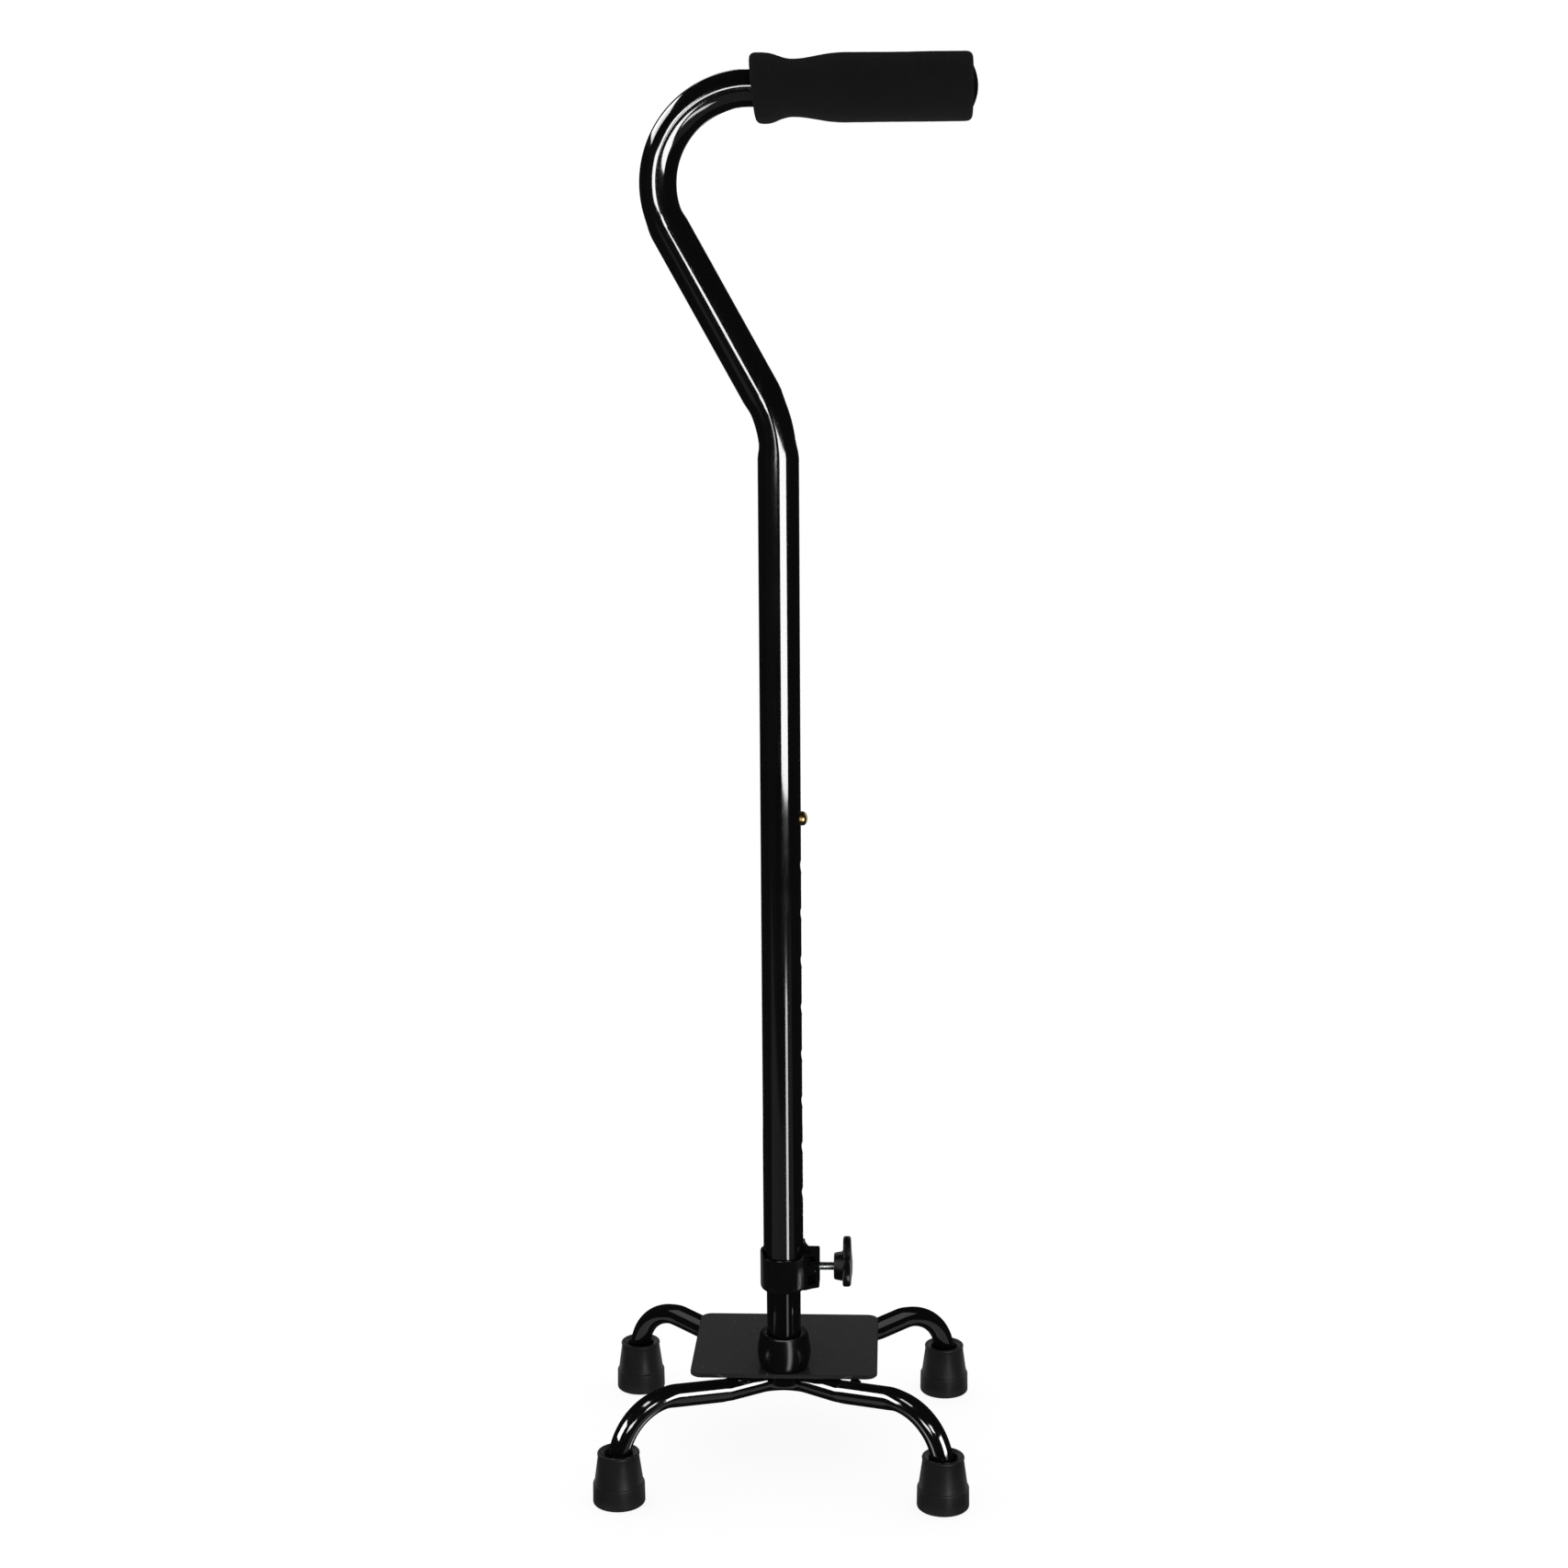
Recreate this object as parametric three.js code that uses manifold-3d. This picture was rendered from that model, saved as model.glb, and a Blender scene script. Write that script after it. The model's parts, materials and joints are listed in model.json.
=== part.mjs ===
// Quad walking cane: a bent upper tube with a foam grip that telescopes over a lower tube,
// a snap button, a locking collar with a thumb screw, and a four-legged base with rubber tips.
// Millimetres, +Z up. Every piece is drawn with the shaft's axis on Z and the floor at z = 0,
// the grip along +X and the base reaching out towards +Y. addNode then moves the piece so that
// the origin lies on the floor midway between the front and the rear feet.
import * as THREE from "three";
import { mergeVertices } from "three/addons/utils/BufferGeometryUtils.js";
import Module from "manifold-3d";

const wasm = await Module();
wasm.setup();

// ---- driving dimensions -------------------------------------------------------------------

const GAP = 0.3; // clearance kept between neighbouring pieces
const PAST = 2; // how far a cutting body runs past the face it opens
const WELD = 1e-4; // vertices closer than this are one

// upper (outer) tube and its bent handle
const UPPER_R = 11.1; // 22.2 mm tube
const UPPER_BORE_R = 9.9;
const UPPER_BOTTOM_Z = 109;
const GRIP_AXIS_Z = 752.2;
const NECK_LEAN = THREE.MathUtils.degToRad(29); // the neck leans back from the shaft by this
const NECK_VERTEX_Z = 581.3; // where the neck's line leaves the shaft axis
const LOWER_BEND_R = 70;
const UPPER_BEND_R = 47.5;
const NECK_SLIM = 0.965; // the neck and handle are drawn a little thinner than the shaft
const NECK_FLATTEN = 0.075; // share of its width the tube loses in the plane of a bend
const BEND_RAMP = 9; // length over which the flattening comes in
const UPPER_END_X = 100.2;
const UPPER_SIDES = 32;

// snap button and its row of holes, all on the +X side
const BUTTON_Z = 370.2; // the button stands in the highest hole: the lowest height setting
const HOLE_PITCH = 26.45;
const HOLE_COUNT = 9;
const HOLE_R = 4.15;
const BUTTON_R = 3.85;
const BUTTON_PROUD = 3.5;
const BUTTON_FLANGE_R = 5.2;
const BUTTON_FLANGE_X = [5.0, 6.1];
const SPRING_THICKNESS = 0.5;
const SPRING_WIDTH = 5;
const SPRING_FRONT_X = 4.4;
const SPRING_BACK_X = -7.35;
const SPRING_RISE = 24; // from the button up to where the spring turns over
const SPRING_TAIL = 6; // below the button

// lower (inner) tube
const LOWER_R = 9.525; // 19.05 mm tube
const LOWER_BORE_R = 8.325;
const LOWER_TOP_Z = 412;
const GUIDE_FLANGE = 2.5;
const GUIDE_SKIRT = 9;
const GUIDE_BORE_R = 6.5;

// foam grip and the plug in the tube's end
const GRIP_START_X = -12.3;
const GRIP_END_X = 101.2;
const GRIP_BORE_R = UPPER_R + GAP;
const GRIP_FLARE_R = 17.8;
const GRIP_WAIST_R = 14.4;
const GRIP_BARREL_R = 17.4;
const GRIP_SLANT = 0.1; // the inner end face leans, top further back
const PLUG_DOME_X = 103.8;
const PLUG_R = 10.4;

// locking collar, its boss, the captive nut and the thumb screw
const COLLAR_BOTTOM_Z = 103.2;
const COLLAR_TOP_Z = 126;
const COLLAR_R = 13;
const COLLAR_ROUND = 3;
const COLLAR_SCOOP = [11.4, 3.1]; // half width and depth of the dip across its mouth
const BOSS_OUT_X = 20.1;
const BOSS_HALF_Y = 6;
const BOSS_TOP_Z = 125.8;
const BOSS_FOOT_Z = 105.8;
const WEB_TOP_Z = 130.8;
const WEB_HALF_Y = 4;
const POCKET_X = [13.5, 17.9];
const POCKET_Z = [107.4, 124];
const POCKET_RIB = 2; // half thickness of the wall left between the two pockets
const SCREW_Z = 116.4;
const SCREW_R = 2.4;
const SCREW_HOLE_R = SCREW_R + GAP;
const NUT_SIZE = 8;
const NUT_X = [13.8, 17.6];
const PAD_R = 2.3;
const PAD_X = [LOWER_R + GAP, 11.05];
const PAD_PIN_R = 0.8;
const PAD_PIN_END_X = 13.2;
const STUD_X = [11.35, 35.1];
const KNOB_X = 28.1;
const KNOB_HEAD_X = [33.1, 37.6];
const KNOB_CROWN = 0.9; // how far the outer face domes out
const KNOB_NECK_R = [7.4, 8.3];
const KNOB_MEAN_R = 12.6;
const KNOB_LOBE = 3.9; // the lobes swing this far about the mean radius
const KNOB_LOBES = 3;
const KNOB_TURN = THREE.MathUtils.degToRad(20); // one lobe leans this far off the vertical

// base: plate, hub and legs
const PLATE_X = 52.3;
const PLATE_Y = [-13.6, 75.8];
const PLATE_Z = [55.2, 57.6];
const PLATE_CORNER = 6.5;
const HUB_Z = [PLATE_Z[1] + GAP, 77.4];
const HUB_FOOT_R = 13.3;
const HUB_BELLY_R = 15.05;
const HUB_BELLY_Z = 66.2;
const HUB_SHOULDER_R = 13.8;
const HUB_RIM_R = 12.5;
const FOOT_R = 8.5;
const FOOT_BOTTOM_Z = 47.5;
const LEG_R = 6.35; // 12.7 mm tube
const LEG_WALL = 1.4;
const LEG_FLATTEN = 0.12;
const LEG_Z = 48.1; // axis height under the plate
const LEG_END_Z = 10.1;
const LEG_SIDES = 20;
const FRONT_TIP = [88.3, -52.5];
const FRONT_BEND_Z = 57.6; // where the rising leg's line meets the tip's axis
const FRONT_BEND_R = 31.7;
const FRONT_RISE_X = 32; // the legs run level to here, then rise
const FRONT_APEX_Y = 8.5;
const FRONT_APEX_R = 23;
const REAR_TIP = [91.8, 101.5];
const REAR_BEND_Z = 56.8;
const REAR_BEND_R = 27;
const REAR_RISE_X = 50;
const REAR_APEX_Y = 42.5;
const REAR_APEX_R = 40;
const RISE_BEND_R = 50;
const FEET_MIDDLE_Y = (FRONT_TIP[1] + REAR_TIP[1]) / 2;
const BEAD_LEFT = [-22, -12.6, 53.6]; // middles of the two weld beads against the front tube
const BEAD_RIGHT = [40, -13.4, 53.6];
const BEAD_RADII = [3.4, 2.2, 2.2];

// rubber tips and the steel discs inside them
const TIP_SKIRT_R = 14.3;
const TIP_STEP_Z = 12;
const TIP_CONE_R = [13.3, 11.3];
const TIP_LIP_R = 11.7;
const TIP_TOP_Z = 29.3;
const TIP_DISH = 1; // how far the top face dips towards the leg
const TIP_MOUTH_Z = 24; // the bore flares above here
const TIP_GROOVE_R = [8.2, 10.6];
const TIP_GROOVE_DEPTH = 1.2;
const TIP_SIDES = 26;
const DISC_R = 7;
const DISC_Z = [8.3, 9.8];

// ---- looks --------------------------------------------------------------------------------

function look(color, roughness, metalness) {
  return new THREE.MeshStandardMaterial({ color, roughness, metalness });
}
const GLOSS_BLACK = look(0x0c0c0d, 0.18, 0.0);
const PLATE_GREY = look(0x2a2a2b, 0.45, 0.1);
const FOAM = look(0x161618, 0.95, 0.0);
const RUBBER = look(0x1b1b1d, 0.7, 0.0);
const BLACK_PLASTIC = look(0x1a1a1c, 0.4, 0.0);
const WHITE_PLASTIC = look(0xd8d6cf, 0.5, 0.0);
const ZINC = look(0xb9bcc0, 0.25, 1.0);
const SPRING_STEEL = look(0x8d9196, 0.35, 1.0);
const BRASS = look(0xc79a3e, 0.3, 1.0);

// ---- solid modelling helpers --------------------------------------------------------------

// A closed three.js geometry as a manifold solid with its faces pointing out.
function solidOf(geometry) {
  const loose = geometry.index ? geometry.toNonIndexed() : geometry;
  const bare = new THREE.BufferGeometry();
  bare.setAttribute("position", loose.getAttribute("position"));
  const welded = mergeVertices(bare, WELD);
  const corners = welded.index.array;
  const build = (turned) => {
    const triangles = [];
    for (let i = 0; i < corners.length; i += 3) {
      const [a, b, c] = [corners[i], corners[i + 1], corners[i + 2]];
      if (a === b || b === c || c === a) continue; // collapsed on the axis of a lathe
      triangles.push(a, turned ? c : b, turned ? b : c);
    }
    return new wasm.Manifold(
      new wasm.Mesh({
        numProp: 3,
        vertProperties: welded.attributes.position.array,
        triVerts: new Uint32Array(triangles),
      }),
    );
  };
  const straight = build(false);
  return straight.volume() < 0 ? build(true) : straight;
}

// A profile of [radius, height] points turned about Z. It starts and ends on the axis,
// or is closed here by repeating its first point.
function turned(profile, sides) {
  const onAxis = profile[0][0] === 0 && profile.at(-1)[0] === 0;
  const points = (onAxis ? profile : [...profile, profile[0]]).map(
    ([r, z]) => new THREE.Vector2(r, z),
  );
  return solidOf(new THREE.LatheGeometry(points, sides).rotateX(Math.PI / 2));
}

// The same, turned about a line along X at height z: profile points are [radius, x].
function turnedOnX(profile, sides, z) {
  return turned(profile, sides).rotate([0, 90, 0]).translate([0, 0, z]);
}

function rodOnX(radius, [from, to], z, sides) {
  return turnedOnX([[0, from], [radius, from], [radius, to], [0, to]], sides, z);
}

function block([x0, x1], [y0, y1], [z0, z1]) {
  const box = new THREE.BoxGeometry(x1 - x0, y1 - y0, z1 - z0);
  return solidOf(box.translate((x0 + x1) / 2, (y0 + y1) / 2, (z0 + z1) / 2));
}

// Points on an arc in a plane, both ends included, angles in degrees.
function arc([cx, cy], radius, from, to, steps) {
  return Array.from({ length: steps + 1 }, (_, i) => {
    const a = THREE.MathUtils.degToRad(from + ((to - from) * i) / steps);
    return [cx + radius * Math.cos(a), cy + radius * Math.sin(a)];
  });
}

// An outline of [x, z] points made half a width thick on either side of y = 0.
function slabInXZ(outline, halfWidth) {
  const shape = new THREE.Shape(outline.map(([x, z]) => new THREE.Vector2(x, z)));
  const slab = new THREE.ExtrudeGeometry(shape, { depth: 2 * halfWidth, bevelEnabled: false });
  return solidOf(slab.rotateX(Math.PI / 2).translate(0, halfWidth, 0));
}

// The centreline of a bent tube: straight runs between corners, each corner rounded to a
// bend radius. Its parameter spends one step on a straight run and several on a bend.
class BentPath extends THREE.Curve {
  constructor(corners, radii, stepAngle, flatToEnd) {
    super();
    this.flatToEnd = flatToEnd;
    this.runs = [];
    let start = corners[0];
    radii.forEach((radius, i) => {
      const corner = corners[i + 1];
      const into = corner.clone().sub(corners[i]).normalize();
      const out = corners[i + 2].clone().sub(corner).normalize();
      const angle = into.angleTo(out);
      const reach = radius * Math.tan(angle / 2);
      const bendStart = corner.clone().addScaledVector(into, -reach);
      const inward = out.clone().addScaledVector(into, -into.dot(out)).normalize();
      const centre = bendStart.clone().addScaledVector(inward, radius);
      this.runs.push({ steps: 1, at: lerpRun(start, bendStart) });
      this.runs.push({
        steps: Math.max(2, Math.ceil(angle / stepAngle)),
        length: radius * angle,
        centre,
        at: (t) =>
          centre
            .clone()
            .addScaledVector(inward, -radius * Math.cos(angle * t))
            .addScaledVector(into, radius * Math.sin(angle * t)),
      });
      start = corner.clone().addScaledVector(out, reach);
    });
    this.runs.push({ steps: 1, at: lerpRun(start, corners.at(-1)) });
    this.steps = this.runs.reduce((sum, run) => sum + run.steps, 0);
  }

  // the run that holds parameter t, and how far along that run it is
  locate(t) {
    let left = Math.min(Math.max(t, 0), 1) * this.steps;
    for (const run of this.runs) {
      if (left <= run.steps) return [run, left / run.steps];
      left -= run.steps;
    }
    return [this.runs.at(-1), 1];
  }

  getPoint(t) {
    const [run, part] = this.locate(t);
    return run.at(part);
  }

  getUtoTmapping(u) {
    return u;
  }

  // for each cross-section: its middle, the middle of the bend it lies in, and how far it
  // has come into that bend or gone past the first one, from 0 to 1 over a ramp; where the
  // path is flat to its end, the last bend has no ramp out and fades along the last run
  sections() {
    return Array.from({ length: this.steps + 1 }, (_, i) => {
      const [run, part] = this.locate(i / this.steps);
      const rampsOut = !(this.flatToEnd && run === this.runs.at(-2));
      const intoBend = rampsOut ? Math.min(part, 1 - part) : part;
      const fromEnd = run.centre ? intoBend * run.length : 0;
      const afterFirst = run === this.runs[1] ? part * run.length : BEND_RAMP;
      return {
        middle: run.at(part),
        bendMiddle: run.centre,
        inBend: THREE.MathUtils.smoothstep(fromEnd, 0, BEND_RAMP),
        pastFirst: run === this.runs[0] ? 0 : THREE.MathUtils.smoothstep(afterFirst, 0, BEND_RAMP),
      };
    });
  }
}

function lerpRun(from, to) {
  return (t) => from.clone().lerp(to, t);
}

// A round bar swept along a bent path.
function bar(path, radius, sides) {
  const ring = arc([0, 0], radius, 0, 360, sides).slice(0, sides);
  const shape = new THREE.Shape(ring.map(([x, y]) => new THREE.Vector2(x, y)));
  return new THREE.ExtrudeGeometry(shape, { steps: path.steps, extrudePath: path });
}

// Reshapes a bar's cross-sections: narrower towards the middle of a bend and wider across it
// by half as much, and all of it thinner after the first bend.
function drawn(path, radius, sides, flatten, slim) {
  const geometry = bar(path, radius, sides);
  const sections = path.sections();
  const position = geometry.getAttribute("position");
  const vertex = new THREE.Vector3();
  for (let i = 0; i < position.count; i++) {
    vertex.fromBufferAttribute(position, i);
    let own = sections[0];
    for (const section of sections) {
      if (section.middle.distanceTo(vertex) < own.middle.distanceTo(vertex)) own = section;
    }
    const squeeze = flatten * own.inBend;
    const offset = vertex.sub(own.middle);
    if (squeeze > 0) {
      const inward = own.bendMiddle.clone().sub(own.middle).normalize();
      const inPlane = inward.multiplyScalar(offset.dot(inward));
      offset.sub(inPlane).multiplyScalar(1 + squeeze / 2).addScaledVector(inPlane, 1 - squeeze);
    }
    offset.multiplyScalar(1 - (1 - slim) * own.pastFirst).add(own.middle);
    position.setXYZ(i, offset.x, offset.y, offset.z);
  }
  return solidOf(geometry);
}

// ---- the assembly -------------------------------------------------------------------------

const cane = new THREE.Group();
cane.name = "quad_cane";

function addNode(name, solid, material) {
  const { vertProperties, triVerts } = solid.translate([0, -FEET_MIDDLE_Y, 0]).getMesh();
  const geometry = new THREE.BufferGeometry();
  geometry.setAttribute("position", new THREE.BufferAttribute(vertProperties, 3));
  geometry.setIndex(new THREE.BufferAttribute(triVerts, 1));
  geometry.computeVertexNormals();
  const mesh = new THREE.Mesh(geometry, material);
  mesh.name = name;
  cane.add(mesh);
}

// the handle: one tube, straight up the shaft, back along the neck, over and out to the grip
function upperPath(extra) {
  const neckTop = (GRIP_AXIS_Z - NECK_VERTEX_Z) * Math.tan(NECK_LEAN);
  const corners = [
    new THREE.Vector3(0, 0, UPPER_BOTTOM_Z - extra),
    new THREE.Vector3(0, 0, NECK_VERTEX_Z),
    new THREE.Vector3(-neckTop, 0, GRIP_AXIS_Z),
    new THREE.Vector3(UPPER_END_X + extra, 0, GRIP_AXIS_Z),
  ];
  const step = THREE.MathUtils.degToRad(7.5);
  return new BentPath(corners, [LOWER_BEND_R, UPPER_BEND_R], step, true);
}

function upperTube() {
  const wall = (radius, extra) =>
    drawn(upperPath(extra), radius, UPPER_SIDES, NECK_FLATTEN, NECK_SLIM);
  let tube = wall(UPPER_R, 0).subtract(wall(UPPER_BORE_R, PAST));
  const throughWall = [UPPER_BORE_R / 2, UPPER_R + PAST];
  for (let i = 0; i < HOLE_COUNT; i++) {
    const z = BUTTON_Z - i * HOLE_PITCH;
    tube = tube.subtract(rodOnX(HOLE_R, throughWall, z, 20));
  }
  return tube.subtract(rodOnX(SCREW_HOLE_R + GAP, throughWall, SCREW_Z, 16));
}

// radius of the foam along its length: a flare, a waist, then a long even barrel
function foamRadius(x) {
  const along = x - GRIP_START_X;
  const toWaist = THREE.MathUtils.smoothstep(along, 7, 20);
  const toBarrel = THREE.MathUtils.smoothstep(along, 21, 46);
  const flareToWaist = THREE.MathUtils.lerp(GRIP_FLARE_R, GRIP_WAIST_R, toWaist);
  return flareToWaist + (GRIP_BARREL_R - GRIP_WAIST_R) * toBarrel;
}

function foamGrip() {
  const cornerIn = 3;
  const cornerOut = 3.2;
  const profile = [[GRIP_BORE_R, GRIP_START_X]];
  const flareCorner = [foamRadius(GRIP_START_X) - cornerIn, GRIP_START_X + cornerIn];
  profile.push(...arc(flareCorner, cornerIn, -90, 0, 4));
  for (const along of [7, 10, 13, 16, 20, 25, 30, 35, 40, 46]) {
    profile.push([foamRadius(GRIP_START_X + along), GRIP_START_X + along]);
  }
  const barrelCorner = [GRIP_BARREL_R - cornerOut, GRIP_END_X - cornerOut];
  profile.push(...arc(barrelCorner, cornerOut, 0, 75, 4));
  profile.push([GRIP_BORE_R, GRIP_END_X]);
  const foam = turnedOnX(profile, 36, GRIP_AXIS_Z);
  // lean the inner end face: its top further back, its bottom pushed in
  return foam.warp((vertex) => {
    const fade = 1 - THREE.MathUtils.smoothstep(vertex[0], GRIP_START_X, GRIP_START_X + 16);
    vertex[0] -= GRIP_SLANT * (vertex[2] - GRIP_AXIS_Z) * fade;
  });
}

function gripEndPlug() {
  const stemR = UPPER_BORE_R * NECK_SLIM - GAP;
  const capX = UPPER_END_X + GAP;
  const rise = PLUG_DOME_X - capX - 0.8;
  const dome = Array.from({ length: 7 }, (_, i) => {
    const out = 1 - i / 6;
    return [PLUG_R * out, PLUG_DOME_X - rise * out * out];
  });
  const profile = [[0, capX - 8], [stemR - 1, capX - 8], [stemR, capX - 7], [stemR, capX]];
  profile.push([PLUG_R, capX], ...dome);
  return turnedOnX(profile, 32, GRIP_AXIS_Z);
}

function lowerTube() {
  const bottom = HUB_Z[0];
  const wall = [
    [LOWER_BORE_R, bottom],
    [LOWER_R, bottom],
    [LOWER_R, LOWER_TOP_Z],
    [LOWER_BORE_R, LOWER_TOP_Z],
  ];
  const hole = rodOnX(HOLE_R, [LOWER_BORE_R / 2, LOWER_R + PAST], BUTTON_Z, 20);
  return turned(wall, UPPER_SIDES).subtract(hole);
}

// plastic guide in the top of the lower tube, a sliding fit in the upper tube
function tubeGuide() {
  const flangeR = UPPER_BORE_R - GAP;
  const skirtR = LOWER_BORE_R - GAP;
  const seat = LOWER_TOP_Z + GAP;
  const profile = [
    [GUIDE_BORE_R, seat - GUIDE_SKIRT],
    [skirtR, seat - GUIDE_SKIRT],
    [skirtR, seat],
    [flangeR, seat],
    [flangeR, seat + GUIDE_FLANGE - 0.6],
    [flangeR - 0.6, seat + GUIDE_FLANGE],
    [GUIDE_BORE_R, seat + GUIDE_FLANGE],
  ];
  return turned(profile, 32);
}

function snapButton() {
  const tip = UPPER_R + BUTTON_PROUD;
  const domeRise = 2.6;
  const dome = Array.from({ length: 6 }, (_, i) => {
    const a = (i / 5) * (Math.PI / 2);
    return [BUTTON_R * Math.cos(a), tip - domeRise + domeRise * Math.sin(a)];
  });
  dome[dome.length - 1][0] = 0;
  const [flangeFrom, flangeTo] = BUTTON_FLANGE_X;
  const profile = [
    [0, flangeFrom],
    [BUTTON_FLANGE_R, flangeFrom],
    [BUTTON_FLANGE_R, flangeTo],
    [BUTTON_R, flangeTo],
    ...dome,
  ];
  return turnedOnX(profile, 24, BUTTON_Z);
}

// a flat strip folded over inside the lower tube: the front leg backs the button
function buttonSpring() {
  const half = SPRING_THICKNESS / 2;
  const turnR = 3.4;
  const turnCentre = [SPRING_BACK_X + turnR, BUTTON_Z + SPRING_RISE];
  const low = BUTTON_Z - SPRING_TAIL;
  const straightTop = BUTTON_Z + SPRING_TAIL;
  const side = (offset) => [
    [SPRING_FRONT_X + offset, low],
    [SPRING_FRONT_X + offset, straightTop],
    ...arc(turnCentre, turnR + offset, 12, 180, 8),
    [SPRING_BACK_X - offset, low],
  ];
  return slabInXZ([...side(half), ...side(-half).reverse()], SPRING_WIDTH / 2);
}

// the moulded collar on the lower end of the upper tube, with the boss that carries the screw
function lockingCollar() {
  const seat = UPPER_BOTTOM_Z - GAP;
  const boreR = LOWER_R + GAP;
  const sleeveR = UPPER_R + GAP;
  const roundCentre = [COLLAR_R - COLLAR_ROUND, COLLAR_BOTTOM_Z + COLLAR_ROUND];
  const shell = [
    [boreR, COLLAR_BOTTOM_Z + 0.4],
    ...arc(roundCentre, COLLAR_ROUND, -80, 0, 4),
    [COLLAR_R, COLLAR_TOP_Z - 0.5],
    [COLLAR_R - 0.5, COLLAR_TOP_Z],
    [sleeveR, COLLAR_TOP_Z],
    [sleeveR, seat],
    [boreR, seat],
  ];
  const edge = 0.6;
  const boss = slabInXZ(
    [
      [5, COLLAR_BOTTOM_Z + 1],
      [12.4, COLLAR_BOTTOM_Z + 1],
      [16, BOSS_FOOT_Z - 0.6],
      [BOSS_OUT_X - edge, BOSS_FOOT_Z],
      [BOSS_OUT_X, BOSS_FOOT_Z + edge],
      [BOSS_OUT_X, BOSS_TOP_Z - edge],
      [BOSS_OUT_X - edge, BOSS_TOP_Z],
      [5, BOSS_TOP_Z],
    ],
    BOSS_HALF_Y,
  );
  const webR = WEB_TOP_Z - BOSS_TOP_Z + 0.2;
  const webCentre = [UPPER_R + 0.7 + webR, BOSS_TOP_Z - 0.2 + webR];
  const web = slabInXZ(
    [
      [5, BOSS_TOP_Z - 3],
      [webCentre[0], BOSS_TOP_Z - 3],
      ...arc(webCentre, webR, 270, 180, 6),
      [5, WEB_TOP_Z],
    ],
    WEB_HALF_Y,
  );
  const clear = turned(
    [
      [0, COLLAR_BOTTOM_Z - PAST],
      [boreR, COLLAR_BOTTOM_Z - PAST],
      [boreR, seat],
      [sleeveR, seat],
      [sleeveR, WEB_TOP_Z + PAST],
      [0, WEB_TOP_Z + PAST],
    ],
    UPPER_SIDES,
  );
  const [scoopX, scoopDepth] = COLLAR_SCOOP;
  const scoopArc = (side, from, to) => {
    const centre = [side * (scoopX - scoopDepth), COLLAR_TOP_Z];
    return arc(centre, scoopDepth, from, to, 5);
  };
  const scoop = slabInXZ(
    [
      [-scoopX, COLLAR_TOP_Z + PAST],
      ...scoopArc(-1, 180, 270),
      ...scoopArc(1, 270, 360),
      [scoopX, COLLAR_TOP_Z + PAST],
    ],
    COLLAR_R + PAST,
  );
  const ring = turned(shell, UPPER_SIDES).subtract(scoop);
  let collar = ring.add(boss.add(web).subtract(clear));
  for (const face of [-1, 1]) {
    const depth = [face * POCKET_RIB, face * (BOSS_HALF_Y + PAST)].sort((a, b) => a - b);
    collar = collar.subtract(block(POCKET_X, depth, POCKET_Z));
  }
  const slot = NUT_SIZE / 2 + GAP;
  collar = collar.subtract(
    block(POCKET_X, [-slot, slot], [SCREW_Z - slot, SCREW_Z + slot]),
  );
  return collar.subtract(rodOnX(SCREW_HOLE_R, [boreR - PAST, BOSS_OUT_X + PAST], SCREW_Z, 20));
}

function captiveNut() {
  const half = NUT_SIZE / 2;
  const nut = block(NUT_X, [-half, half], [SCREW_Z - half, SCREW_Z + half]);
  return nut.subtract(rodOnX(SCREW_HOLE_R, [NUT_X[0] - PAST, NUT_X[1] + PAST], SCREW_Z, 20));
}

// the pad that presses on the lower tube, held in the screw's end by a pin
function screwTipPad() {
  const [face, back] = PAD_X;
  const profile = [
    [0, face],
    [PAD_R - 0.3, face],
    [PAD_R, face + 0.3],
    [PAD_R, back],
    [PAD_PIN_R, back],
    [PAD_PIN_R, PAD_PIN_END_X],
    [0, PAD_PIN_END_X],
  ];
  return turnedOnX(profile, 20, SCREW_Z);
}

function thumbScrewStud() {
  const [from, to] = STUD_X;
  const profile = [
    [0, from],
    [SCREW_R - 0.5, from],
    [SCREW_R, from + 0.5],
    [SCREW_R, to - 0.5],
    [SCREW_R - 0.5, to],
    [0, to],
  ];
  const socket = rodOnX(PAD_PIN_R + GAP, [from - PAST, PAD_PIN_END_X + GAP], SCREW_Z, 16);
  return turnedOnX(profile, 24, SCREW_Z).subtract(socket);
}

// three-lobed plastic knob: a tapered neck, a lobed head and a slightly domed outer face
function thumbKnob() {
  const [headFrom, headTo] = KNOB_HEAD_X;
  const outline = Array.from({ length: 48 }, (_, i) => {
    const a = (i / 48) * 2 * Math.PI;
    const r = KNOB_MEAN_R + KNOB_LOBE * Math.cos(KNOB_LOBES * (a - KNOB_TURN)) - 0.7;
    return new THREE.Vector2(r * Math.cos(a), r * Math.sin(a));
  });
  const head = new THREE.ExtrudeGeometry(new THREE.Shape(outline), {
    depth: headTo - headFrom - 1.4,
    bevelThickness: 0.7,
    bevelSize: 0.7,
    bevelSegments: 2,
  });
  // the outline's x axis turns to point up, and its depth to run back along X
  const placed = solidOf(head).rotate([0, -90, 0]).translate([headTo - 0.7, 0, SCREW_Z]);
  const [neckR, neckOutR] = KNOB_NECK_R;
  const crownR = KNOB_MEAN_R - KNOB_LOBE - 0.8;
  const core = [
    [0, KNOB_X],
    [neckR - 0.6, KNOB_X],
    [neckR, KNOB_X + 0.6],
    [neckOutR, headFrom + 0.5],
    [crownR, headFrom + 1],
    [crownR, headTo - 0.1],
    [crownR * 0.66, headTo + KNOB_CROWN * 0.6],
    [crownR * 0.33, headTo + KNOB_CROWN * 0.9],
    [0, headTo + KNOB_CROWN],
  ];
  const bore = rodOnX(SCREW_HOLE_R, [KNOB_X - PAST, STUD_X[1] + GAP], SCREW_Z, 20);
  return placed.add(turnedOnX(core, 32, SCREW_Z)).subtract(bore);
}

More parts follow.
